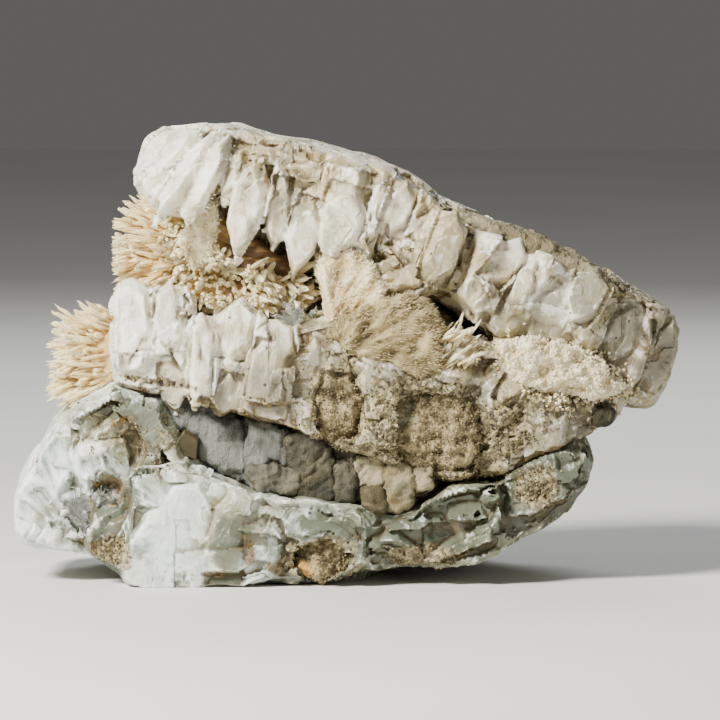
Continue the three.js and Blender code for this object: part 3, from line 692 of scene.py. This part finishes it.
def limestone(name, pale, dark, rust, striped=0.8):
    """Limestone: dull and fine-grained, mottled, with thin dark cracks and rusty seams; the cracks are
    painted shade where its relief lies low. Where it broke along its grain it is striped."""
    m, place, f = new_material(name, "relief", "tone", "khaki", seams=26, blotch=9, spots=3, dust=0.5)
    stretched = add(m, "Mapping", {"Vector": place, "Rotation": (0, 0.3, 0), "Scale": (1, 1, 0.2)})
    f.update(noises(m, stretched, lines=1.0))
    shade = weigh(m, f, blotch=0.55, tone=0.5, spots=0.3, lines=0.25 * striped, relief=0.25)
    body = lay(m, linear(dark), pale, shade, 0.4, 1.25)
    body = lay(m, body, "#75683C", weigh(m, f, khaki=1.0, blotch=0.4, spots=0.3), 0.5, 1.4, 0.7)
    body = lay(m, body, rust, weigh(m, f, seams=1.0, spots=0.4), 0.95, 1.3, 0.7)
    # Painted shade: dark where the relief lies low, in cracks and hollows and along the scales' outlines.
    body = lay(m, body, "#3E3726", weigh(m, f, relief=1.0, spots=0.15), 0.32, 0.08, 0.9)
    body = lay(m, body, "#C4BC9E", weigh(m, f, spots=0.6, dust=0.5), 0.85, 1.05, 0.4)
    height = weigh(m, f, lines=striped, dust=0.8, spots=0.7)
    return surfaced(m, {"Base Color": body, "Roughness": 0.8}, height, 0.9, 0.6 * MM)


grey_limestone = limestone("grey limestone", "#91948C", "#42443C", "#6E5A36")
wedge = take_solid("limestone_parting", "limestone_wedge")
weather(wedge, 0.62 * MM, rounds=2)
grow_plates(wedge, 41, [(200, 6, 15, 1.3), (900, 2.2, 9, 0.5)],
            lambda x, y, z: np.array([0.3 * math.sin(x / 6), -0.1, 1.0]))
points, normals = surface(wedge)
x, y, z = points.T / MM
striae = swells(points, (43, 1.3, 1, (1, 1, 5)), (44, 2.4, 0.7, (1, 1, 4)))
move(wedge, points + normals * striae[:, None] * 0.3 * MM)
record(wedge, khaki=np.clip((x + 30) / 30, 0, 1) * 0.8 + 0.5 * marked(points, [(-30, 45, 9, 2, -10)]))
finish_piece(wedge, grey_limestone, "grey_limestone", "limestone_parting")


# Limestone scales: shell-shaped scales that stand in the cleft edge to edge, each broken with
# ripples that run round the point where it was struck.

olive_limestone = limestone("olive limestone", "#8E8C7C", "#3E3D32", "#6E5A36", striped=0.1)
ochre_limestone = limestone("ochre limestone", "#C9BC98", "#5E5438", "#8A6A34", striped=0.1)
for number in range(1, 9):
    grey = number <= 4
    scale = take_solid(f"limestone_flake_{number}", f"limestone_scale_{number}")
    shape(scale, "REMESH", mode="VOXEL", voxel_size=0.35 * MM)
    shape(scale, "SMOOTH", factor=0.5, iterations=1)
    shape(scale, "DISPLACE", strength=1.3 * MM, mid_level=0.0)
    points, normals = surface(scale)
    struck = points[np.argmax(points[:, 2] + 0.6 * points[:, 0] * (-1) ** number)]
    away = np.linalg.norm(points - struck, axis=1) / MM + waves(points, number, 5 * MM)
    rings = np.sin(away / 0.5) + 0.5 * np.sin(away / 0.22)
    swell = swells(points, (number + 40, 7, 1), (number + 50, 2.5, 0.5))
    middle_of = (points.min(axis=0) + points.max(axis=0)) / 2
    reach = np.abs((points - middle_of) / (points.max(axis=0) - middle_of))
    rim = np.clip(np.maximum(reach[:, 0], reach[:, 2]) * 4 - 3, 0, 1)
    relief = 0.12 * rings + 0.6 * swell
    move(scale, points + normals * relief[:, None] * MM + np.array([0, 1.2, 0]) * MM)
    # relief falls towards each scale's rim, so the material paints shade along its outline.
    record(scale, relief=np.clip(0.55 + 0.16 * rings + 0.25 * swell - 0.55 * rim, 0, 1),
           tone=number % 3 / 2 - 0.5 * grey, khaki=0.4 if grey else 0.3)
    finish_piece(scale, olive_limestone if grey else ochre_limestone,
                 "grey_limestone" if grey else "ochre_limestone", f"limestone_flake_{number}")


# Top rind: the thin weathered skin of limestone on which the upper wall grew.

rind = take_solid("top_rind", "limestone_rind")
weather(rind, 0.6 * MM, rounds=2, swell=0.3 * MM)
points, normals = surface(rind)
bumps = swells(points, (7, 8, 1), (8, 2.6, 0.7), (28, 1.3, 0.5))
move(rind, points + normals * bumps[:, None] * 0.55 * MM)
record(rind, relief=np.clip(0.6 + 0.3 * bumps, 0, 1), tone=0.5,
       khaki=np.clip(0.3 + 0.5 * waves(points, 18, 14 * MM), 0, 1))
weathered_limestone = limestone("weathered limestone", "#B5AC8C", "#62583A", "#8E6428")
finish_piece(rind, weathered_limestone, "ochre_limestone", "top_rind")


# Rock knob: a small grey knob of limestone held in the underside of the right end.

knob = take_solid("rock_knob", "limestone_knob")
weather(knob, 0.4 * MM, rounds=2)
points, normals = surface(knob)
bumps = swells(points, (9, 4, 1), (19, 1.4, 0.4))
move(knob, points + normals * bumps[:, None] * 0.5 * MM)
record(knob, relief=np.clip(0.55 + 0.3 * bumps, 0, 1), tone=0.2, khaki=0.2)
dark_limestone = limestone("dark limestone", "#5E5A40", "#262414", "#4E3F20")
finish_piece(knob, dark_limestone, "grey_limestone", "rock_knob")


# Brown crusts: patches of brown sandy crust on the celestine. Each is a bed of the crust with its
# grains on it, and loose grains run on over the celestine round it.

def granular_crust(name):
    """Granular crust: loose brown and straw-coloured grains, rough, dull and dark between them, with
    grey-green windows where the crystal under it shows."""
    m, place, f = new_material(name, "tone", "stain", clouds=8, spots=2.5, dust=0.5)
    cells = add(m, "TexVoronoi", {"Vector": place, "Scale": 1100.0})
    f["cell_tone"] = add(m, "SeparateColor", {0: cells.node.outputs["Color"]})
    straw = weigh(m, f, tone=0.7, cell_tone=0.4, spots=0.3)
    body = lay(m, linear("#453A24"), "#B5A57A", straw, 0.15, 1.3)
    body = lay(m, body, "#7C7A66", weigh(m, f, clouds=0.8, spots=0.4), 0.8, 1.05, 0.7)
    body = lay(m, body, "#1C160A", weigh(m, f, spots=0.7, dust=0.5), 0.3, 0.15, 0.8)
    body = lay(m, body, "#D9A552", weigh(m, f, stain=1.0, spots=0.4), 0.5, 0.9, 0.9)
    return surfaced(m, {"Base Color": body, "Roughness": 0.85}, cells, 0.8, 0.4 * MM, invert=True)


def crystal_form(name, sides, profile):
    """A crystal one unit long that stands on the origin. profile lists height and radius of each
    ring, and its last ring is closed by a blunt end."""
    bpy.ops.object.select_all(action="DESELECT")
    (_, foot), (first, girth) = profile[:2]
    bpy.ops.mesh.primitive_cone_add(vertices=sides, radius1=foot, radius2=girth, depth=first,
                                    location=(0, 0, first / 2))
    form = bpy.context.object
    form.name = name
    bpy.ops.object.transform_apply(location=True, rotation=False, scale=False)
    bpy.ops.object.mode_set(mode="EDIT")
    bpy.ops.mesh.select_all(action="DESELECT")
    bpy.ops.object.mode_set(mode="OBJECT")
    for vertex in form.data.vertices:
        vertex.select = vertex.co.z > first * 0.99
    for face in form.data.polygons:
        face.select = face.normal.z > 0.9
    bpy.ops.object.mode_set(mode="EDIT")
    reached, wide = first, girth
    for level, radius in profile[2:]:
        bpy.ops.mesh.extrude_region_move(TRANSFORM_OT_translate={"value": (0, 0, level - reached)})
        bpy.ops.transform.resize(value=(radius / wide, radius / wide, 1))
        reached, wide = level, radius
    bpy.ops.object.mode_set(mode="OBJECT")
    return form


grain_form = crystal_form("grain_form", 4, [(0, 0.7), (0.5, 1.0), (1.0, 0.35)])
brown_crust = granular_crust("brown granular crust")
CRUSTS = {"brown_crust_1": 1500, "brown_crust_2": 2600, "base_crust": 900}
for number, (node, count) in enumerate(CRUSTS.items()):
    bed = take_solid(node, node + "_bed")
    weather(bed, 0.5 * MM, rounds=8, swell=0.9 * MM)
    points, normals = surface(bed)
    rough = swells(points, (60 + number, 7, 1), (70 + number, 2.5, 0.5))
    low, high = points.min(axis=0), points.max(axis=0)
    off = (points - (low + high) / 2) / ((high - low) / 2) * (1, 0, 1)
    rim = np.clip(np.linalg.norm(off, axis=1) * 2.5 - 1.7, 0, 1.4)
    sunk = (2.9 + 1.6 * rim)[:, None] * (0, 1, 0) * MM
    move(bed, points + normals * rough[:, None] * 1.1 * MM + sunk)
    record(bed, tone=np.clip(0.45 + 0.3 * rough, 0, 1), stain=marked(points, [(-12.5, 4, 2.5, 2.5, 0)]))
    points, normals = surface(bed)
    rng = np.random.default_rng(80 + number)
    at = rng.choice(np.where(normals[:, 1] < 0.2)[0], count)
    tilts = normals[at] + rng.normal(0, 0.5, (count, 3))
    sizes = rng.uniform(0.12, 0.36, count) * MM
    grains = scatter(grain_form, node + "_grains", points[at], tilts, sizes, sizes * 1.6, number)
    finish_piece(bed, brown_crust, "brown_crust", node)
    finish_piece(grains, brown_crust, "brown_crust", smooth=0)

rng = np.random.default_rng(85)
for wall, count in ((middle, 5400), (lower, 2400)):
    points, normals = surface(wall)
    crust = np.zeros(len(points), dtype=np.float32)
    wall.data.attributes["crust"].data.foreach_get("value", crust)
    sandy = crust + 0.35 * waves(points, 86, 7 * MM) + 0.25 * waves(points, 88, 2.5 * MM)
    chance = np.clip(sandy - 0.35, 0, 0.6) * (crust > 0.05)
    at = rng.choice(len(points), count, p=chance / chance.sum())
    sizes = rng.uniform(0.1, 0.34, count) * MM
    tilts = normals[at] + rng.normal(0, 0.5, (count, 3))
    grains = scatter(grain_form, wall.name + "_sand", points[at], tilts, sizes, sizes * 1.6, 87)
    finish_piece(grains, brown_crust, "brown_crust", smooth=0)


# Upper calcite cluster: blunt spikes of golden calcite that fill the left of the upper pocket, on a core
# that is stained dark brown where it lines the back, where painted shade of the pocket darkens it too.

def calcite(name, tip, root, deep):
    """Calcite in spikes: satin, a little translucent, paler at the tips and ochre to brown between the
    roots, where iron-stained water stood. The darkening from tip to root is partly painted shade between
    the spikes."""
    m, _, f = new_material(name, "rise", "tone", "stain", clouds=6, spots=2, dust=0.5)
    # lit runs from the root colour to the paler tip along each spike: the calcite's own ochre together
    # with painted shade between the spikes.
    lit = weigh(m, f, rise=0.75, tone=0.3, spots=0.25, clouds=0.2)
    body = lay(m, linear(root), tip, lit, 0.2, 1.15)
    body = lay(m, body, "#CBAE70", weigh(m, f, clouds=0.7, spots=0.4, rise=-0.3), 0.5, 0.9, 0.45)
    body = lay(m, body, deep, weigh(m, f, stain=1.0, spots=0.3, rise=-0.2), 0.3, 1.1)
    return surfaced(m, {
        "Base Color": body, "Roughness": 0.5, "IOR": 1.6,
        "Subsurface Weight": 0.35, "Subsurface Radius": (1.0, 0.85, 0.6), "Subsurface Scale": 1 * MM,
    }, weigh(m, f, spots=0.7, dust=0.5), 0.6, 0.3 * MM)


def roots_on(piece, rng, count, keep):
    """Random points of a piece's surface where keep is true, a little below the surface."""
    points, normals = surface(piece)
    at = rng.choice(np.where(keep(*(points.T / MM), normals))[0], count)
    return points[at] - normals[at] * 0.4 * MM, normals[at]


golden_calcite = calcite("golden calcite", "#FFECBC", "#CCA45C", "#5E401C")
cream_calcite = calcite("cream calcite", "#FFF3CE", "#D2B67C", "#6E5528")
spike_form = crystal_form("spike_form", 5, [(0, 0.7), (0.5, 0.95), (0.8, 1.0), (0.93, 0.65), (1.0, 0.2)])
core = take_solid("upper_calcite_cluster", "upper_calcite_core")
weather(core, 0.5 * MM)
points, normals = surface(core)
fibres = swells(points, (12, 2.2, 1, (3, 1, 1)), (13, 1.4, 0.6, (3, 1, 1)))
move(core, points + normals * (0.4 * fibres - 0.3)[:, None] * MM)
x, y, z = points.T / MM
# The stain note grows towards the back of the pocket: brown stain together with painted shade of the
# pocket's back.
back_stain_and_shade = np.clip((x + 36) / 8, 0, 1) * np.clip((z - 74 - 0.35 * (x + 20)) / 4, 0, 1)
record(core, rise=np.clip(0.25 + 0.2 * fibres, 0, 1), tone=0.0,
       stain=np.clip((back_stain_and_shade + 0.35 * (x > -46)) * (0.75 + 0.4 * fibres), 0, 1))

rng = np.random.default_rng(91)
SPRAYS = [
    ("upper_calcite_spikes", 260, (0.5, 0.95), (4.0, 8.0), golden_calcite,
     lambda x, y, z, n: (x < -46) & (n[:, 0] < 0.4) & (n[:, 1] < 0.7)),
    ("upper_calcite_knobs", 800, (0.4, 0.9), (1.2, 4.0), cream_calcite,
     lambda x, y, z, n: (x > -50) & (x < -12) & (n[:, 1] < 0.1)
     & (z < np.interp(x, [-50, -38, -30, -12], [98, 92, 83, 79]))),
    ("upper_calcite_fingers", 70, (0.6, 1.05), (3.5, 7), cream_calcite,
     lambda x, y, z, n: (x > -28) & (n[:, 1] < -0.2) & (z < 82)),
]
finish_piece(core, golden_calcite, "golden_calcite", "upper_calcite_cluster")
for number, (name, count, widths, lengths, calcite_kind, keep) in enumerate(SPRAYS):
    roots, n = roots_on(core, rng, count, keep)
    outward = unit(roots - np.array([-40, 0, 87]) * MM) * (1, 0.6, 1) + (-0.35, -0.1, 0)
    lean = (outward, n * 0.6 + (-0.25, -0.9, 0.15), (0.7, -0.55, -0.1))[number]
    lean = unit(lean + rng.normal(0, (0.2, 0.55, 0.45)[number], roots.shape))
    room = np.clip((roots[:, 0] + 63 * MM) / np.maximum(-lean[:, 0], 0.1), 1 * MM, None)
    spikes = scatter(spike_form, name, roots, lean, rng.uniform(*widths, count) * MM,
                     np.minimum(rng.uniform(*lengths, count) * MM, room), 92 + number, jitter=0.22)
    finish_piece(spikes, calcite_kind, "golden_calcite" if number == 0 else "cream_calcite", smooth=0)


# Lower calcite cluster: a dense brush of golden spikes that point left, under the middle wall.

core = take_solid("lower_calcite_cluster", "lower_calcite_core")
weather(core, 0.5 * MM)
record(core, rise=0.4, tone=0.0, stain=0.1)
rng = np.random.default_rng(95)
roots, _ = roots_on(core, rng, 640, lambda x, y, z, n: (x > -73) & (n[:, 0] < 0.5) & (n[:, 1] < 0.8))
fan = unit(roots - np.array([-52, -1, 60]) * MM) * (1, 0.7, 1) + (-0.3, 0, 0)
fan = fan + rng.normal(0, 0.25, roots.shape)
room = np.clip((roots[:, 0] + 81 * MM) / np.maximum(-unit(fan)[:, 0], 0.1), 1 * MM, None)
brush = scatter(spike_form, "lower_calcite_spikes", roots, fan, rng.uniform(0.4, 0.9, 640) * MM,
                np.minimum(rng.uniform(3, 9.5, 640) * MM, room), 96, jitter=0.22)
finish_piece(core, golden_calcite, "golden_calcite", "lower_calcite_cluster")
finish_piece(brush, golden_calcite, "golden_calcite", smooth=0)


# Calcite flake: a pale kite-shaped sheet that stands on the upper cluster with one corner up. Small
# spikes mat its front.

flake = take_solid("calcite_flake", "calcite_sheet")
shape(flake, "REMESH", mode="VOXEL", voxel_size=0.35 * MM)
shape(flake, "SMOOTH", factor=0.5, iterations=2)
points, normals = surface(flake)
rough = swells(points, (14, 2, 1, (1, 1, 5)), (15, 3.5, 0.7))
move(flake, points + normals * rough[:, None] * 0.4 * MM)
record(flake, rise=np.clip(0.7 + 0.35 * rough, 0, 1), tone=0.6)
rng = np.random.default_rng(120)
roots, n = roots_on(flake, rng, 700, lambda x, y, z, n: n[:, 1] < 0.3)
upright = n * 0.5 + (0.1, -0.1, 0.7) + rng.normal(0, 0.45, roots.shape)
mat = scatter(spike_form, "calcite_sheet_spikes", roots, upright, rng.uniform(0.12, 0.32, 700) * MM,
              rng.uniform(0.5, 1.7, 700) * MM, 121, jitter=0.22)
finish_piece(flake, cream_calcite, "cream_calcite", "calcite_flake")
finish_piece(mat, cream_calcite, "cream_calcite", smooth=0)


# Calcite sheaf: fibres of cream calcite that spread from one root between the two pockets.

needle_form = crystal_form("needle_form", 3, [(0, 0.6), (0.6, 1.0), (1.0, 0.2)])


def fibre_bundle(node, root, seed, count, lengths, widths, lift, stray, material):
    """A node's solid with fibres laid over its front, all pointing away from one root."""
    bed = take_solid(node, node + "_bed")
    weather(bed, 0.5 * MM, swell=0.5 * MM)
    points, normals = surface(bed)
    x, y, z = (points - np.array(root) * MM).T
    fan = np.stack([np.hypot(x, z) * 0.2, np.arctan2(z, x) * 12 * MM, y], axis=1)
    ribs = swells(fan, (seed, 2.2, 1), (seed + 5, 1.1, 0.6))
    swell = waves(points, seed + 7, 7 * MM)
    move(bed, points + normals * (0.5 * ribs + 0.7 * swell)[:, None] * MM)
    record(bed, rise=np.clip(0.45 + 0.3 * ribs + 0.2 * swell, 0, 1), tone=0.0,
           stain=np.clip(0.15 - 0.4 * swell, 0, 1))
    rng = np.random.default_rng(seed)
    roots, n = roots_on(bed, rng, count, lambda x, y, z, n: n[:, 1] < 0.1)
    away = unit((roots - np.array(root) * MM) * (1, 0.2, 1))
    away = away + n * lift + rng.normal(0, stray, roots.shape)
    lean = waves(roots, seed + 9, 9 * MM)[:, None] * (0.3, 0, -0.3)
    fibres = scatter(needle_form, node + "_fibres", roots, away + lean, rng.uniform(*widths, count) * MM,
                     rng.uniform(*lengths, count) * MM, seed + 1, flatness=0.6)
    finish_piece(bed, material, "cream_calcite", node)
    finish_piece(fibres, material, "cream_calcite", smooth=0)


fibre_bundle("calcite_sheaf", (-6.5, -28, 66), 97, 7000, (0.6, 1.9), (0.1, 0.24), 0.35, 0.36,
             cream_calcite)


# Calcite fan: a second, browner fan below the sheaf. Its outer fibres end as free spikes in the
# right pocket.

tan_calcite = calcite("tan calcite", "#C6B384", "#766636", "#3A2C10")
fibre_bundle("calcite_fan", (-4, -30, 62), 99, 7500, (0.7, 2.1), (0.1, 0.22), 0.3, 0.3, tan_calcite)
rng = np.random.default_rng(110)
spots = np.stack([rng.uniform(*limits, 90) for limits in ((20, 31), (-36, -26), (57, 66))], axis=1) * MM
free = np.array([0.75, -0.25, 0.7]) + rng.normal(0, 0.25, spots.shape)
spikes = scatter(spike_form, "calcite_fan_spikes", spots, free, rng.uniform(0.4, 0.8, 90) * MM,
                 rng.uniform(3, 7.0, 90) * MM, 111, flatness=0.6, jitter=0.22)
finish_piece(spikes, cream_calcite, "cream_calcite", smooth=0)


# Cream calcite crust: the rough bright seam between the walls at the right, a mat of small
# crystals.

seam = take_solid("cream_calcite_crust", "cream_crust_bed")
weather(seam, 0.5 * MM, swell=0.4 * MM)
points, normals = surface(seam)
rough = swells(points, (16, 6, 1), (17, 2.2, 0.6))
move(seam, points + normals * rough[:, None] * 0.9 * MM)
record(seam, rise=np.clip(0.75 + 0.35 * rough, 0, 1), tone=0.4,
       stain=np.clip(0.05 - 0.3 * rough, 0, 0.4))
rng = np.random.default_rng(101)
roots, n = roots_on(seam, rng, 2400, lambda x, y, z, n: n[:, 1] < 0.1)
mat = scatter(grain_form, "cream_crust_crystals", roots, n + rng.normal(0, 0.6, roots.shape),
              rng.uniform(0.2, 0.8, 2400) * MM, rng.uniform(0.5, 1.1, 2400) * MM, 102, jitter=0.3)
finish_piece(seam, cream_calcite, "cream_calcite", "cream_calcite_crust")
finish_piece(mat, cream_calcite, "cream_calcite", smooth=0)
for wall, count in ((upper, 700), (middle, 1100)):
    points, normals = surface(wall)
    near = marked(points, [(57, 56, 17, 7, -18)])
    chance = np.clip(near + 0.4 * waves(points, 104, 6 * MM) - 0.2, 0, 1) * (near > 0)
    at = rng.choice(len(points), count, p=chance / chance.sum())
    tilts = normals[at] + rng.normal(0, 0.6, (count, 3))
    strays = scatter(grain_form, wall.name + "_cream_crystals", points[at], tilts,
                     rng.uniform(0.2, 0.7, count) * MM, rng.uniform(0.4, 1.1, count) * MM, 105, jitter=0.3)
    finish_piece(strays, cream_calcite, "cream_calcite", smooth=0)


# Clear crystals: small glassy celestine crystals on the pocket's floor and in the hollow of the
# lower mass. Light passes through them.

def clear_crystal(name, colour, pale, rough):
    """Clear crystal: glassy and see-through, a little clouded by healed cracks."""
    m, _, f = new_material(name, clouds=4, spots=1.5)
    body = lay(m, linear(colour), pale, weigh(m, f, clouds=0.7, spots=0.3), 0.3, 0.9)
    sockets = {"Base Color": body, "Roughness": rough, "IOR": 1.62, "Transmission Weight": 0.75}
    return surfaced(m, sockets, f["clouds"], 0.25, 0.4 * MM)


def blade_mould():
    """A flat blade one unit long that stands on the origin, with a bevelled face and a chisel end."""
    bpy.ops.object.select_all(action="DESELECT")
    bpy.ops.mesh.primitive_cube_add(size=2, location=(0, 0, 0.33), scale=(1, 1, 0.33))
    form = bpy.context.object
    form.name = "blade_form"
    bpy.ops.object.transform_apply(location=True, rotation=False, scale=True)
    bevel, chisel = [((0.55, 1, 1), None)], [(None, (0, -0.15, 0.34)), ((0.3, 0.35, 1), None)]
    for axis, steps in ((1, bevel), (2, chisel)):
        for face in form.data.polygons:
            face.select = face.normal[axis] > 0.9
        bpy.ops.object.mode_set(mode="EDIT")
        for size, lift in steps:
            if lift:
                bpy.ops.mesh.extrude_region_move(TRANSFORM_OT_translate={"value": lift})
            if size:
                bpy.ops.transform.resize(value=size)
        bpy.ops.object.mode_set(mode="OBJECT")
    return form


blade_form = blade_mould()
clear_celestine = clear_crystal("clear celestine", "#A9ADA4", "#F4F6F2", 0.12)
for node, count, seed, hollow in (("pocket_crystals", 16, 103, 0.0), ("cavity_crystals", 90, 105, 2.5)):
    bed = take_solid(node, node + "_main")
    weather(bed, 0.4 * MM, rounds=1)
    points, normals = surface(bed)
    move(bed, points + np.array([0, hollow, 0]) * MM)
    rng = np.random.default_rng(seed)
    roots, n = roots_on(bed, rng, count, lambda x, y, z, n: n[:, 1] < 0.2)
    tilt = n + (0, -0.3, 0.5) + rng.normal(0, 0.5, roots.shape)
    tablets = scatter(blade_form, node + "_small", roots, tilt, rng.uniform(0.8, 2.2, count) * MM,
                      rng.uniform(1.8, 4.5, count) * MM, seed + 1, flatness=0.3,
                      facing=n + rng.normal(0, 0.8, n.shape), jitter=0.3)
    finish_piece(bed, clear_celestine, "clear_celestine", node)
    finish_piece(tablets, clear_celestine, "clear_celestine", smooth=0)


# Amber crystal: a flat iron-stained crystal at the left of the cleft.

amber = take_solid("amber_crystal", "amber_tablet")
shape(amber, "REMESH", mode="VOXEL", voxel_size=0.3 * MM)
shape(amber, "SMOOTH", factor=0.5, iterations=1)
amber_calcite = clear_crystal("amber calcite", "#6B5A20", "#97803C", 0.3)
finish_piece(amber, amber_calcite, "amber_calcite", "amber_crystal")

for form in (blade_form, grain_form, spike_form, needle_form):
    bpy.data.objects.remove(form)


# Camera, floor and light: the specimen is seen from the front, a little from above, by a long
# lens, on a plain pale floor under soft light from the upper left.

VIEW_TILT = math.radians(4)
VIEW_MIDDLE = Vector((2.7, -1.3, 57.6)) * MM
VIEW_DISTANCE = 1.8
VIEW_WIDTH = 720 * 0.27 * MM

camera_data = bpy.data.cameras.new("camera")
camera = bpy.data.objects.new("camera", camera_data)
bpy.context.scene.collection.objects.link(camera)
camera_data.sensor_width = 36
camera_data.lens = camera_data.sensor_width * VIEW_DISTANCE / VIEW_WIDTH
camera_data.clip_start = 0.05
toward = Vector((0, -math.cos(VIEW_TILT), math.sin(VIEW_TILT)))
camera.location = VIEW_MIDDLE + toward * VIEW_DISTANCE
camera.rotation_euler = (math.pi / 2 - VIEW_TILT, 0, 0)
bpy.context.scene.camera = camera

bpy.ops.object.select_all(action="DESELECT")
bpy.ops.mesh.primitive_plane_add(size=6, location=(0, 0, 0))
floor = bpy.context.object
floor.name = "floor"
floor_material, _, _ = new_material("pale floor")
speckle = add(floor_material, "TexNoise", {"Scale": 40.0})
floor_colour = lay(floor_material, linear("#E2E2DE"), "#E6E6E2", speckle, 0.3, 0.7)
floor_shader = add(floor_material, "BsdfPrincipled", {"Base Color": floor_colour, "Roughness": 0.7})
add(floor_material, "OutputMaterial", {"Surface": floor_shader})
floor.data.materials.append(floor_material)


def soft_light(name, place, size, power, colour):
    data = bpy.data.lights.new(name, "AREA")
    data.shape, data.size, data.energy, data.color = "DISK", size, power, colour
    light = bpy.data.objects.new(name, data)
    bpy.context.scene.collection.objects.link(light)
    light.location = place
    light.rotation_euler = (VIEW_MIDDLE - Vector(place)).to_track_quat("-Z", "Y").to_euler()


soft_light("key_light", (-0.55, -0.5, 0.6), 0.25, 24.5, (1.0, 0.965, 0.90))
soft_light("fill_light", (0.7, -0.7, 0.3), 0.6, 1.0, (1.0, 0.96, 0.90))
soft_light("back_light", (0.1, 0.8, 0.7), 0.6, 5.0, (0.95, 0.98, 1.0))
world = bpy.data.worlds.new("studio")
bpy.context.scene.world = world
world.use_nodes = True
world.node_tree.nodes["Background"].inputs["Color"].default_value = (1.0, 0.98, 0.95, 1.0)
world.node_tree.nodes["Background"].inputs["Strength"].default_value = 0.12
